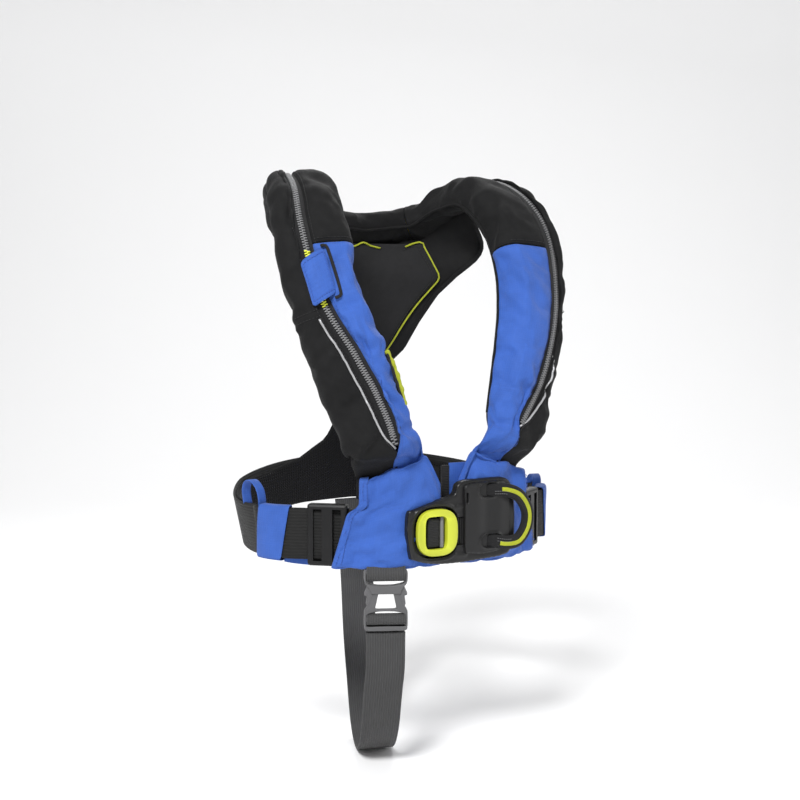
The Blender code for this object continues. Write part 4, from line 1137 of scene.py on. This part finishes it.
def side_loop(word, side):
    """The loop of blue tape behind the keeper, over the belt's top edge; the left one is lower."""
    middle, half, foot, tall = side * 0.208, 0.0118, 0.0235, 1.0 if side == RIGHT else 0.45
    route = ((-half, foot), (-half * 1.05, 0.031), (-half * 0.85, 0.041), (-half * 0.2, 0.048),
             (half * 0.55, 0.0455), (half * 0.98, 0.036), (half * 1.05, foot))
    route = [(side * s, foot + (z - foot) * tall) for s, z in route]
    centres, sides, ups = [], [], []
    dense = along_spline(route, 0.002)
    gradient = np.gradient(dense, axis=0)
    for (s, z), (ds, dz) in zip(dense, gradient):
        point, tangent, out, up = belt_frame(middle + s)
        centres.append(point - out * 0.0034 + up * z)
        sides.append(out)
        ups.append(unit(tangent * -dz + up * ds))
    tape = ribbon(f"side_loop_{word}", centres, sides, ups, 0.0095, 0.0012, "blue")
    dress(tape, f"side_loop_{word}", slot="blue_fabric")


def lining_strip(side, word):
    """Blue strip sewn inside the belt between keeper and sleeve; it shows below the belt."""
    strip = belt_ribbon(f"belt_lining_{word}", side * 0.09, side * 0.169, "blue", -0.0038, 0.0014,
                        0.0255, taper=lambda t: 1.0 + 0.1 * math.sin(math.pi * t))
    strip.location.z -= 0.0036
    dress(strip, slot="blue_fabric")


def make_belt():
    start = 0.024
    belt = belt_ribbon("waist_belt", -start, -(2 * HALF_BELT - start), "belt", 0.0, BELT_THICK,
                       BELT_HALF_HEIGHT, wave=0.0008)
    dress(belt, "waist_belt", slot="webbing")
    lines = []
    for side, word in SIDES:
        tail = belt_ribbon(f"belt_tail_{word}", side * TAIL_SPAN[0], side * TAIL_SPAN[1], "belt",
                           BELT_THICK / 2 + 0.0019, 0.0018, BELT_HALF_HEIGHT - 0.0006,
                           wave=0.001, seed=3.0)
        dress(tail, f"belt_tail_{word}", slot="webbing")
        keeper(word, side)
        side_loop(word, side)
        lining_strip(side, word)
        for s in (0.1985, 0.2385):
            path = [belt_point(side * s, BELT_THICK / 2 + 0.0006, z)
                    for z in np.arange(-0.022, 0.023, 0.004)]
            lines += seam(path, [belt_frame(side * s)[2]] * len(path))
    dress(joined("belt_stitches", lines, "grey_thread"), slot="webbing")


# ---------------------------------------------------------------- back

# Half of the yoke's outline from the waist up: height and half width.
YOKE_EDGE = (
    (0.112, 0.021), (0.135, 0.027), (0.156, 0.039), (0.171, 0.052), (0.2, 0.064),
    (0.23, 0.079), (0.25, 0.095), (0.262, 0.108),
)
YOKE_THICK = 0.0026
# Half of the inset panel's outline: half width and height, from the waist up to the collar.
PANEL_EDGE = (
    (0.015, 0.138), (0.022, 0.15), (0.033, 0.168), (0.046, 0.194), (0.06, 0.218),
    (0.072, 0.235), (0.079, 0.247), (0.0735, 0.262), (0.0665, 0.279), (0.064, 0.2855),
    (0.056, 0.2845), (0.0466, 0.2805),
)
# Top edge of the mesh wing, by distance from the middle of the back.
WING_TOP = ((0.0, 0.1165), (0.01, 0.112), (0.018, 0.09), (0.03, 0.07), (0.064, 0.0504),
            (0.105, 0.0385), (0.14, 0.033), (0.178, 0.0285), (0.215, 0.023))
WING_HALF = 0.215


def back_y(x, z):
    """The wearer's side of the yoke; it curves back under the collar at the top."""
    return 0.103 - 0.25 * (z - 0.118) - 3.5 * x * x + 0.016 * smooth(z, 0.245, 0.295)


def yoke_point(j, share):
    """Point of the yoke: j from -1 to 1 across, share from 0 at the waist to 1 under the collar."""
    heights, halves = zip(*YOKE_EDGE)
    z = heights[0] + (heights[-1] - heights[0]) * min(share / 0.8, 1.0)
    half = float(np.interp(z, heights, halves))
    point = np.array((half * j, back_y(half * j, z), z))
    if share <= 0.8:
        return point
    at, side = NAPE - 3.9 * abs(j), LEFT if j >= 0 else RIGHT
    centre, _, across, away, half_width, thick, _ = lobe_at(at, side)
    top = centre - across * half_width * 0.15 - away * thick * 0.75
    blend = (share - 0.8) / 0.2
    flare = 0.024 if j > 0 else 0.006
    point[0] += flare * j * abs(j) * math.sin(math.pi * min(1.0, 1.15 * blend))
    bow = np.array((0.0, 0.004, 0.0)) * math.sin(math.pi * blend)
    return point * (1 - blend) + top * blend + bow


def back_wrinkle(x, y, z):
    return 0.0035 * ripple((x, 0.3 * y, 0.7 * z), 0.04, 5.0)


def make_yoke():
    rows = []
    for i in range(44):
        share = i / 43
        row = []
        for k in range(37):
            point = yoke_point(2 * k / 36 - 1, share)
            wrinkle = back_wrinkle(*point) * math.sin(math.pi * share) ** 0.5
            row.append(point + np.array((0.0, wrinkle, 0.0)))
        rows.append(row)
    yoke = Cloth("back_yoke", rows, "black", thick=YOKE_THICK, outward=FRONT)
    yoke = dress(yoke.build(), "back_yoke", slot="black_fabric")


def panel_face(x, z, lift):
    y = back_y(x, z)
    return np.array((x, y + back_wrinkle(x, y, z) - lift, z))


def panel_piping(word, path):
    piping = tube(f"panel_piping_{word}", path, 0.00095, "lime_webbing", FRONT)
    dress(piping, slot="lime_webbing")


def make_panel():
    """Charcoal panel on the yoke, edged with a lime piping."""
    outline = along_spline(PANEL_EDGE, 0.004)
    heights = np.linspace(0.14, 0.284, 34)
    rows = []
    for z in heights:
        crossings = [x for (x, low), (_, high) in zip(outline[:-1], outline[1:])
                     if (low - z) * (high - z) <= 0]
        half = max(crossings) if crossings else 0.016
        rows.append([panel_face(half * (k / 12 - 1), z, 0.0016) for k in range(25)])
    panel = Cloth("back_lining", rows, "charcoal", thick=0.001, outward=FRONT)
    panel = dress(panel.build(), "back_lining", slot="charcoal_fabric")
    lines = []
    for side, word in SIDES[::-1]:
        panel_piping(word, [panel_face(side * x, z, 0.0028) for x, z in outline])
        inner = [panel_face(side * x * 0.93, z - 0.004 * smooth(z, 0.25, 0.28), 0.0024)
                 for x, z in outline[4:]]
        lines += seam(inner, [FRONT] * len(inner))
    peak = along_spline(((-0.02, 0.279), (-0.009, 0.2815), (0.0, 0.285), (0.009, 0.2815),
                         (0.02, 0.279)), 0.003)
    panel_piping("middle", [panel_face(x, z, 0.0028) for x, z in peak])
    dress(joined("panel_stitches", lines, "black_thread"), slot="black_fabric")


def binding(name, path, normals, wide):
    """Folded tape over a raw edge."""
    up = np.asarray(normals, float)
    return dress(tube(name, path, wide / 2, "black", up, sides=10, flat=0.42), slot="black_fabric")


def make_wing():
    """Mesh panel round the back of the waist, with a bound top edge."""
    inner = -BELT_THICK / 2 - 0.0022
    count = int(2 * WING_HALF / 0.006)
    rows, edge, faces = [], [], []
    for i in range(count + 1):
        along = -(HALF_BELT - WING_HALF + 2 * WING_HALF * i / count)
        off = abs(abs(along) - HALF_BELT)
        rise = belt_frame(along)[0][2]
        top = float(np.interp(off, *zip(*WING_TOP))) - rise
        low = float(np.interp(off, (0.0, 0.14, WING_HALF), (0.005, 0.001, 0.012))) - rise
        row = []
        for k in range(15):
            z = low + (top - low) * k / 14
            sag = 0.003 * math.sin(math.pi * k / 14) * (0.6 + ripple((along, 0.0, z), 0.05))
            row.append(belt_point(along, inner - sag, z))
        rows.append(row)
        edge.append(row[-1])
        faces.append(belt_frame(along)[2])
    wing = Cloth("back_mesh", rows, "mesh", thick=0.0016, outward=belt_frame(HALF_BELT)[2])
    wing = dress(wing.build(), "back_mesh", slot="black_mesh")
    bound = binding("wing_binding", edge, faces, 0.005)


def yoke_bindings():
    for side, word in SIDES:
        path = [yoke_point(side, share) for share in np.linspace(0.0, 1.0, 50)]
        binding(f"yoke_binding_{word}", path, [FRONT] * len(path), 0.0052)


# ---------------------------------------------------------------- chest plate

PLATE_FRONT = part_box("chest_plate")[0].y
LOOP_AXIS = Vector(JOINTS["tether_loop"]["pos_m"])


def tether_loop():
    """Tubular webbing with a lime stripe on its outer edge, stitched where its layers meet."""
    x, y = LOOP_AXIS.x, LOOP_AXIS.y
    top, bottom = 0.04, -0.013
    path = ((x - 0.007, y + 0.0046, top + 0.0006), (x, y + 0.0004, top + 0.0004),
            (x + 0.012, y - 0.003, top - 0.0002),
            (x + 0.025, y - 0.004, top - 0.0055), (x + 0.0355, y - 0.001, top - 0.0175),
            (x + 0.039, y + 0.001, top - 0.029), (x + 0.0355, y, bottom + 0.0125),
            (x + 0.025, y - 0.003, bottom + 0.0028), (x + 0.012, y - 0.003, bottom + 0.0012),
            (x, y + 0.0004, bottom + 0.003), (x - 0.006, y + 0.0046, bottom + 0.0034))
    centres = along_spline(path, 0.0022)
    tangents = np.gradient(centres, axis=0)
    sides, ups = [], []
    for tangent in tangents:
        tangent = unit(tangent)
        up = unit(FRONT + tangent * tangent[1])
        ups.append(up)
        sides.append(np.cross(tangent, up))
    loop = ribbon("tether_loop", centres, sides, ups, 0.0136, 0.0062, "loop", edge=0.62)
    soften(loop)
    dress(loop, "tether_loop", slot="black_webbing", body="tether_loop")
    middle = np.array((x, y, (top + bottom) / 2))
    outward = [side * (1 if side @ (centre - middle) > 0 else -1)
               for side, centre in zip(sides, centres)]
    ends = slice(7, -6)
    stripe_path = [c + o * 0.0008 + u * 0.00312 for c, o, u in zip(centres, outward, ups)][ends]
    stripe = ribbon("tether_stripe", stripe_path, sides[ends], ups[ends], 0.004, 0.0012,
                    "lime_webbing")
    dress(stripe, slot="lime_webbing", body="tether_loop")
    lines = []
    for shift in (-0.0036, -0.001):
        line = [c + o * shift + u * 0.0032 for c, o, u in zip(centres, outward, ups)]
        for part in (slice(4, 12), slice(-12, -4)):
            lines += seam(line[part], ups[part], pitch=0.0022)
    dress(joined("tether_stitches", lines, "grey_thread"), slot="black_webbing", body="tether_loop")


PLATE_EDGE = (
    (-0.049, -0.0215), (-0.03, -0.0268), (-0.005, -0.0285), (0.03, -0.027), (0.052, -0.025),
    (0.062, -0.019), (0.0655, -0.006), (0.0655, 0.02), (0.063, 0.04), (0.056, 0.05),
    (0.045, 0.052), (0.025, 0.0515), (0.01, 0.051), (0.001, 0.0475), (-0.0035, 0.038),
    (-0.022, 0.0326), (-0.045, 0.0258), (-0.052, 0.0225), (-0.053, 0.0000),
)
COVER_EDGE = (
    (0.0085, -0.019), (0.03, -0.021), (0.047, -0.018), (0.056, -0.009), (0.0585, 0.004),
    (0.0585, 0.028), (0.0555, 0.043), (0.048, 0.049), (0.03, 0.0492), (0.013, 0.0478),
    (0.0068, 0.044), (0.0072, 0.03), (0.007, 0.015), (0.007, -0.01),
)
PLATE_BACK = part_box("chest_plate")[1].y
COVER_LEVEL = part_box("plate_cover")[0].y
RING_MIDDLE = (-0.0225, 0.003)
RING_HALVES = (0.0218, 0.0226)
EYES = ((0.0335, 0.0412, 0.0105, 0.0066), (0.0365, -0.009, 0.0112, 0.0062))


def rounded_gap(x, z, middle, halves, power):
    """About how far outside a rounded box a point is; negative within it."""
    q = (abs(x - middle[0]) / halves[0]) ** power + (abs(z - middle[1]) / halves[1]) ** power
    return (q ** (1 / power) - 1) * min(halves)


def eye_gap(x, z, eye):
    cx, cz, half, deep = eye
    return math.hypot(max(0.0, abs(x - cx) - (half - deep)), z - cz) - deep


def sculpted(name, outline, height, edge, step=0.0007):
    """A moulding with an outline in the plate's plane and a height above its back at each point."""
    loop = along_spline([*outline, outline[0]], 0.0008)
    ahead = np.roll(loop, -1, axis=0)
    low_x, high_x = loop[:, 0].min() + 0.0002, loop[:, 0].max() - 0.0002
    columns = int((high_x - low_x) / step)
    rows = int((loop[:, 1].max() - loop[:, 1].min()) / step)
    verts, faces = [], []
    for i in range(-1, columns + 2):
        x = low_x + (high_x - low_x) * min(max(i, 0), columns) / columns
        cross = (loop[:, 0] - x) * (ahead[:, 0] - x) <= 0
        share = (x - loop[cross, 0]) / (ahead[cross, 0] - loop[cross, 0] + 1e-9)
        found = loop[cross, 1] + (ahead[cross, 1] - loop[cross, 1]) * share
        for k in range(-1, rows + 2):
            z = found.min() + (found.max() - found.min()) * min(max(k, 0), rows) / rows
            rise = 0.0
            if 0 <= i <= columns and 0 <= k <= rows:
                near = min(1.0, float(np.hypot(loop[:, 0] - x, loop[:, 1] - z).min()) / edge)
                rise = height(x, z) - edge * (1 - math.sqrt(1 - (1 - near) ** 2))
            verts.append((x, PLATE_BACK - rise, z))
    tall = rows + 3
    for i in range(columns + 2):
        for k in range(rows + 2):
            a = i * tall + k
            faces.append((a, a + tall, a + tall + 1, a + 1))
    rim = [i * tall for i in range(columns + 3)]
    rim += [(columns + 2) * tall + k for k in range(1, tall)]
    rim += [i * tall + tall - 1 for i in range(columns + 1, -1, -1)]
    rim += list(range(tall - 2, 0, -1))
    faces.append(tuple(rim))
    obj = new_object(name, verts, faces, "plate")
    fix_normals(obj)
    obj.data.set_sharp_from_angle(angle=math.radians(50))
    return obj


def plate_height(x, z):
    """The plate's face: the ring's recess, the window beside it and a fine rim round both."""
    ring = rounded_gap(x, z, RING_MIDDLE, [half + 0.0018 for half in RING_HALVES], 2.9)
    window = max(abs(x - 0.0042) - 0.004, abs(z - 0.0025) - 0.013)
    level = PLATE_BACK - PLATE_FRONT
    level -= 0.0052 * (1 - smooth(ring, -0.0005, 0.0006))
    level = min(level, PLATE_BACK - PLATE_FRONT - 0.0056 * (1 - smooth(window, -0.0004, 0.0006)))
    both = min(ring, rounded_gap(x, z, (0.0035, 0.0025), (0.006, 0.016), 5.0))
    level += 0.001 * math.exp(-((both - 0.0028) / 0.0008) ** 2)
    return level - 0.0016 * smooth(-x, 0.035, 0.056) - 0.0012 * smooth(x, 0.056, 0.066)


def cover_height(x, z):
    """The raised cover: a valley down its middle, a slit at its corner and two lipped eyes."""
    level = PLATE_BACK - COVER_LEVEL - 0.0002
    valley = 0.0017 * math.exp(-((x - 0.033) / 0.0085) ** 2)
    level -= valley * (1 - 0.6 * smooth(abs(z - 0.016), 0.016, 0.032))
    level -= 0.0016 * smooth(x, 0.044, 0.0585)
    slit = max(abs(x - 0.0098) - 0.0009, abs(z - 0.0345) - 0.005)
    level -= 0.004 * (1 - smooth(slit, -0.0004, 0.0004))
    for eye in EYES:
        gap = eye_gap(x, z, eye)
        level += 0.0012 * math.exp(-((gap - 0.0012) / 0.001) ** 2)
        level -= 0.0074 * (1 - smooth(gap, -0.0011, 0.0003))
    return level


def make_plate():
    for name, outline, height, edge in (("chest_plate", PLATE_EDGE, plate_height, 0.0024),
                                        ("plate_cover", COVER_EDGE, cover_height, 0.0016)):
        dress(sculpted(name, outline, height, edge), name, slot="black_plastic")


# ---------------------------------------------------------------- crotch strap

BUCKLE_YAW = math.radians(-22.0)
BUCKLE_ACROSS = np.array((math.cos(BUCKLE_YAW), math.sin(BUCKLE_YAW), 0.0))
BUCKLE_OUT = np.array((math.sin(BUCKLE_YAW), -math.cos(BUCKLE_YAW), 0.0))
BUCKLE_AT = np.array((-0.067, -0.114, -0.032))
STRAP_WIDE, STRAP_THICK = 0.038, 0.0024
FOLDED_WIDE, FOLDED_THICK = 0.0375, 0.0021
BUCKLE_ROUND = 0.0008  # radius of the rounded edges
LADDER_DROP = 0.054  # from the buckle's top to the bar that the strap hangs from


def strap_run(name, path, wave):
    """Webbing down the front and under, turning from the buckle's facing to straight ahead."""
    centres = along_spline(path, 0.004)
    tangents = np.gradient(centres, axis=0)
    sides, ups = [], []
    for i, tangent in enumerate(tangents):
        share = i / (len(centres) - 1)
        yaw = BUCKLE_YAW * (1 - share)
        across = np.array((math.cos(yaw), math.sin(yaw), 0.0))
        tangent = unit(tangent)
        across = unit(across - tangent * (across @ tangent))
        sides.append(across)
        ups.append(np.cross(tangent, across))
        centres[i] += ups[-1] * wave * ripple(centres[i], 0.05)
    dress(ribbon(name, centres, sides, ups, STRAP_WIDE, STRAP_THICK, "strap"), name, slot="webbing")


def crotch_strap():
    bx, by, bz = BUCKLE_AT
    low = bz - LADDER_DROP
    path = ((bx, by, low - 0.0072), (bx + 0.001, by + 0.003, -0.128), (-0.064, -0.102, -0.155),
            (-0.057, -0.082, -0.195), (-0.044, -0.048, -0.226), (-0.03, -0.01, -0.238),
            (-0.018, 0.026, -0.226), (-0.011, 0.05, -0.19), (-0.006, 0.07, -0.14),
            (-0.002, 0.086, -0.085), (0.000, 0.0985, -0.03), (0.000, 0.1065, 0.0035))
    strap_run("crotch_strap", path, 0.0012)
    tab()
    wrap()
    crotch_buckle()


def local(u, n, drop):
    """Point in the crotch buckle's frame: across, outward and down from its top."""
    return BUCKLE_AT + BUCKLE_ACROSS * u + BUCKLE_OUT * n - UP * drop


def folded(name, route):
    """Webbing whose path lies in the buckle's upright middle plane."""
    dense = along_spline(route, 0.0012)
    gradient = np.gradient(dense, axis=0)
    centres = [local(0.0, n, drop) for n, drop in dense]
    ups = [unit(BUCKLE_OUT * dd + UP * dn) for dn, dd in gradient]
    sides = [BUCKLE_ACROSS] * len(centres)
    piece = ribbon(name, centres, sides, ups, FOLDED_WIDE, FOLDED_THICK, "strap")
    dress(piece, name, slot="webbing")


def tab():
    """Webbing from under the sleeve, through the socket's slot and back up to be sewn."""
    route = ((-0.0016, -0.014), (0.0012, -0.005), (0.005, 0.0008), (0.006, 0.0044), (0.004, 0.0092),
             (0.0000, 0.0106), (-0.0038, 0.0092), (-0.0056, 0.004), (-0.0044, -0.004), (-0.0042, -0.014))
    folded("crotch_strap_tab", route)


def wrap():
    """The strap's turns over the ladder bars of the latch half, and its folded free end."""
    route = ((-0.005, 0.0755), (-0.0056, 0.0655), (-0.005, 0.058), (-0.0026, 0.0532), (0.001, 0.0528),
             (0.0052, 0.0505), (0.0056, 0.048), (0.005, 0.0455), (0.0016, 0.044), (-0.001, 0.044),
             (-0.005, 0.047), (-0.006, 0.0545), (-0.0068, 0.0695))
    folded("crotch_strap_wrap", route)


def framed(name, halves, half_thick):
    """A flat moulding of the buckle: its outline and then its openings, each by its right half."""
    curve = bpy.data.curves.new(name, "CURVE")
    curve.dimensions, curve.fill_mode = "2D", "BOTH"
    curve.bevel_depth, curve.bevel_resolution, curve.offset = BUCKLE_ROUND, 3, -BUCKLE_ROUND
    curve.extrude = half_thick - BUCKLE_ROUND
    for outline in map(mirrored, halves):
        dense = along_spline([*outline, outline[0]], 0.0009)[:-1]
        loop = curve.splines.new("POLY")
        loop.points.add(len(dense) - 1)
        loop.use_cyclic_u = True
        for point, (u, drop) in zip(loop.points, dense):
            point.co = (u, -drop, 0.0, 1.0)
    shape = bpy.data.objects.new(name, curve)
    mesh = bpy.data.meshes.new_from_object(shape)
    bpy.data.objects.remove(shape)
    verts = [local(v.co.x, v.co.z, -v.co.y) for v in mesh.vertices]
    faces = [tuple(face.vertices) for face in mesh.polygons]
    piece = new_object(name, verts, faces, "buckle")
    fix_normals(piece)
    piece.data.set_sharp_from_angle(angle=math.radians(40))
    dress(piece, name, slot="grey_plastic")


def mirrored(half):
    """A closed outline from its right half, which runs from the top middle to the bottom."""
    return [*half, *[(-u, drop) for u, drop in reversed(half) if u > 0.0004]]


def crotch_buckle():
    socket = ((0.009, -0.0008), (0.018, -0.0006), (0.0206, 0.0016), (0.0209, 0.008), (0.02, 0.0132),
              (0.0168, 0.0172), (0.0148, 0.0205), (0.0138, 0.0232), (0.007, 0.0236))
    slot = ((0.009, 0.0034), (0.0178, 0.0036), (0.0188, 0.006), (0.0188, 0.0108), (0.0168, 0.0134),
            (0.009, 0.0152), (0.003, 0.0156))
    framed("crotch_buckle_socket", (socket, slot), 0.0046)
    latch = ((0.006, 0.019), (0.0126, 0.0194), (0.0134, 0.025), (0.015, 0.0305), (0.0176, 0.0352),
             (0.0204, 0.0392), (0.0209, 0.044), (0.0208, 0.055), (0.019, 0.059), (0.009, 0.0596))
    window = ((0.003, 0.0226), (0.0062, 0.023), (0.0076, 0.025), (0.009, 0.0315), (0.0101, 0.0368),
              (0.0092, 0.0384), (0.003, 0.0386))
    crescent = ((0.004, 0.0404), (0.01, 0.0409), (0.016, 0.0424), (0.0186, 0.0442), (0.017, 0.0456),
                (0.006, 0.0456))
    ladder = ((0.006, 0.0506), (0.018, 0.0506), (0.0186, 0.0528), (0.018, 0.055), (0.006, 0.055))
    framed("crotch_buckle_latch", (latch, window, crescent, ladder), 0.0034)


# ---------------------------------------------------------------- flap and handle


def burst_flap():
    """Sewn cloth flap with rounded corners, a little crowned, over the bursting point."""
    joint = JOINTS["burst_flap"]
    axis = unit(joint["axis"])
    low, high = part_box("burst_flap")
    middle = np.array((low + high) / 2)
    hinge = np.array(joint["pos_m"])
    across = middle - hinge
    across = unit(across - axis * (across @ axis))
    out = np.cross(across, axis)
    if out @ np.array((0.0, -1.0, 0.3)) < 0:
        out = -out
    wide, tall, corner = 0.0262, 0.0474, 0.003
    rows, count, columns = [], 22, 13
    for i in range(count):
        v = 2 * i / (count - 1) - 1
        inset = corner * max(0.0, (abs(v) - 0.86) / 0.14) ** 2
        row = []
        for k in range(columns):
            u = 2 * k / (columns - 1) - 1
            reach = wide / 2 + u * (wide / 2 - inset)
            point = hinge + across * reach + axis * (v * tall / 2 - 0.34 * (reach - wide / 2))
            crown = 0.0014 * (1 - u * u) + 0.0008 * (1 - v * v)
            crown -= 0.0034 * u * u * smooth(u, -0.2, 1.0) + 0.0008 * abs(u)
            row.append(point + out * (crown + 0.0004 * ripple(point, 0.012)))
        rows.append(row)
    flap = Cloth("burst_flap", rows, "blue", thick=0.0018, outward=out)
    dress(flap.build(), "burst_flap", slot="blue_fabric", body="burst_flap")
    ring = [(k, 2) for k in range(1, columns - 1)]
    ring += [(columns - 2, i) for i in range(3, count - 3)]
    ring += [(k, count - 3) for k in range(columns - 2, 0, -1)]
    ring += [(1, i) for i in range(count - 4, 2, -1)]
    path = [flap.points[i, k] + out * STITCH_LIFT for k, i in ring]
    lines = seam(path + path[:1], [out] * (len(path) + 1), pitch=0.0028)
    dress(joined("flap_stitches", lines, "blue_thread"), slot="blue_fabric", body="burst_flap")
    return hinge, across, axis, out


def flap_slot(hinge, across, axis, out):
    """The dark welted slot in the facing beside the flap's hinge, with turned ends."""
    route = [(-0.003, 0.029), (0.001, 0.0285), (0.0028, 0.0245), (0.0032, 0.0), (0.0028, -0.019),
             (0.001, -0.0232), (-0.004, -0.024)]
    dense = along_spline(route, 0.0025)
    path = [hinge - across * s + axis * t + out * 0.0002 for s, t in dense]
    welt = tube("flap_welt", path, 0.0016, "charcoal", out, flat=0.7)
    dress(welt, slot="black_fabric")


def pull_handle():
    """Lime tape sleeve with scalloped edges on a black hook-and-loop backing."""
    centres, sides, ups, back = [], [], [], []
    places = evenly(*HANDLE_SPAN, 0.0022)
    for i, at in enumerate(places):
        centre, _, across, away, half_width = lobe_at(at, RIGHT)[:5]
        share = i / (len(places) - 1)
        bow = 0.0034 * math.sin(math.pi * share)
        wave = 0.0005 * math.sin(share * 50.0)
        middle = centre - across * (half_width - 0.004 + 0.7 * bow + wave) + away * 0.005
        centres.append(middle)
        sides.append(away)
        ups.append(-across)
        back.append(centre - across * (half_width - 0.0042) + away * 0.0035)
    radii = [0.0031 + 0.0007 * math.sin(i * 1.05) for i in range(len(centres))]
    handle = tube("pull_handle", centres, radii, "lime_webbing", np.array(ups), sides=14, flat=0.75)
    soften(handle)
    dress(handle, "pull_handle", slot="lime_webbing", body="pull_handle")
    tape = ribbon("handle_backing", back[1:-1], sides[1:-1], ups[1:-1], 0.009, 0.0024,
                  "black_webbing")
    dress(tape, slot="black_webbing")


# ---------------------------------------------------------------- CAD pieces that keep their shape

KEPT = {
    "release_ring": "lime", "ring_bar": "bar",
    "ring_webbing": "black_webbing_flat", "window_bar_1": "plate", "window_bar_2": "plate",
    "window_bar_3": "plate", "belt_adjuster_left": "adjuster", "belt_adjuster_right": "adjuster",
    "crotch_prong_left": "buckle",
    "crotch_prong_right": "buckle", "closure_tab_left": "blue_flat",
    "closure_tab_right": "black_flat",
    "closure_band": "black_webbing_flat", "folded_bladder": "bladder", "gas_cylinder": "steel",
    "inflator_body": "red", "firing_lever": "adjuster",
    "oral_tube": "adjuster", "oral_tube_cap": "red",
    "rescue_light": "orange", "whistle": "orange",
}
UNBEVELLED = ("ring_webbing", "closure_band", "closure_tab_left", "closure_tab_right")


BLADDER_SLACK = 0.0068  # drawn this much smaller all over, so that it stays inside the cloth


def kept_pieces():
    for name, look in KEPT.items():
        obj = NODES[name]
        obj.data.materials.clear()
        obj.data.materials.append(LOOKS[look])
        obj.data.shade_smooth()
        if name == "folded_bladder":
            shrink = obj.modifiers.new("slack", "DISPLACE")
            shrink.strength, shrink.mid_level = -BLADDER_SLACK, 0.0
        elif name not in UNBEVELLED:
            bevel = obj.modifiers.new("rounded", "BEVEL")
            bevel.width, bevel.segments, bevel.limit_method = 0.0007, 3, "ANGLE"
            bevel.angle_limit, bevel.use_clamp_overlap = math.radians(28), True
            bevel.harden_normals = True


# ---------------------------------------------------------------- stage

AZIMUTH, ELEVATION, DISTANCE = math.radians(-27.0), math.radians(4.5), 1.5
AIM = Vector((0.0, 0.0, 0.12))
FLOOR = CAD_BOX[0].z - 0.0015


def make_floor():
    """A pale sweep: flat under the jacket and curving up well behind it."""
    verts, faces = [], []
    bend, radius = 1.6, 1.2
    profile = [(-4.0, 0.0), (bend, 0.0)]
    profile += [(bend + radius * math.sin(angle), radius * (1 - math.cos(angle)))
                for angle in np.linspace(0.1, math.pi / 2, 14)]
    profile.append((2.8, 5.0))
    back = Vector((-math.sin(AZIMUTH), math.cos(AZIMUTH), 0.0))
    side = Vector((math.cos(AZIMUTH), math.sin(AZIMUTH), 0.0))
    for off, height in profile:
        for x in (-5.0, 5.0):
            verts.append(back * off + side * x + Vector((0.0, 0.0, FLOOR + height)))
    for i in range(len(profile) - 1):
        faces.append((2 * i, 2 * i + 1, 2 * i + 3, 2 * i + 2))
    look = Look("floor_paper", (0.93, 0.93, 0.935), 0.9, coords="object", specular=0.2)
    look.tint(look.noise(2.0), (0.95, 0.95, 0.95), 0.5)
    LOOKS["floor"] = look.material
    new_object("floor", verts, faces, "floor")


def area_light(name, place, aim, size, power):
    data = bpy.data.lights.new(name, "AREA")
    data.shape, data.size, data.energy = "DISK", size, power
    light = bpy.data.objects.new(name, data)
    light.location = place
    light.rotation_euler = (Vector(aim) - Vector(place)).to_track_quat("-Z", "Y").to_euler()
    bpy.context.scene.collection.objects.link(light)


def make_stage():
    make_floor()
    scene = bpy.context.scene
    world = bpy.data.worlds.new("studio")
    world.use_nodes = True
    sky = world.node_tree.nodes["Background"]
    sky.inputs["Color"].default_value = (1.0, 1.0, 1.0, 1.0)
    sky.inputs["Strength"].default_value = 0.33
    scene.world = world
    area_light("key", (-1.5, -1.6, 2.1), AIM, 0.8, 96.0)
    area_light("fill", (2.1, -1.5, 0.7), AIM, 1.4, 16.0)
    area_light("rim", (0.9, 1.3, 2.0), AIM, 1.0, 24.0)
    scene.view_settings.view_transform = "Standard"
    data = bpy.data.cameras.new("camera")
    data.sensor_width, data.lens, data.shift_x = 36.0, 64.9, 0.0075
    camera = bpy.data.objects.new("camera", data)
    flat = math.cos(ELEVATION)
    back = Vector((math.sin(AZIMUTH) * flat, -math.cos(AZIMUTH) * flat, math.sin(ELEVATION)))
    camera.location = AIM + back * DISTANCE
    camera.rotation_euler = (-back).to_track_quat("-Z", "Y").to_euler()
    scene.collection.objects.link(camera)
    scene.camera = camera


# ---------------------------------------------------------------- the whole jacket


def main():
    lobes = make_lobes()
    sleeves = make_sleeves()
    run_cloth()
    for number, (name, (cloth, places)) in enumerate(sorted(lobes.items())):
        depth, lean = CREASES[name.split("_")[0]]
        cloth.creased(depth, 0.05, 0.015, lean * places[0][1], 3.0 * number)
    for number, (word, cloth) in enumerate(sorted(sleeves.items())):
        cloth.creased(0.0062, 0.055, 0.017, 1.1 + 0.5 * number, 30.0 + number)
    for name, (cloth, _) in lobes.items():
        slot = {"facing": "blue_fabric"}.get(name.split("_")[0], "black_fabric")
        dress(cloth.build(), name, slot=slot)
    for word, cloth in sleeves.items():
        dress(cloth.build(), f"waist_sleeve_{word}", slot="blue_fabric")
    lobe_trim(lobes)
    seam_binding(lobes)
    sleeve_trim(sleeves)
    zips()
    make_belt()
    make_yoke()
    make_panel()
    yoke_bindings()
    make_wing()
    tether_loop()
    make_plate()
    crotch_strap()
    flap_slot(*burst_flap())
    pull_handle()
    kept_pieces()
    make_stage()


main()
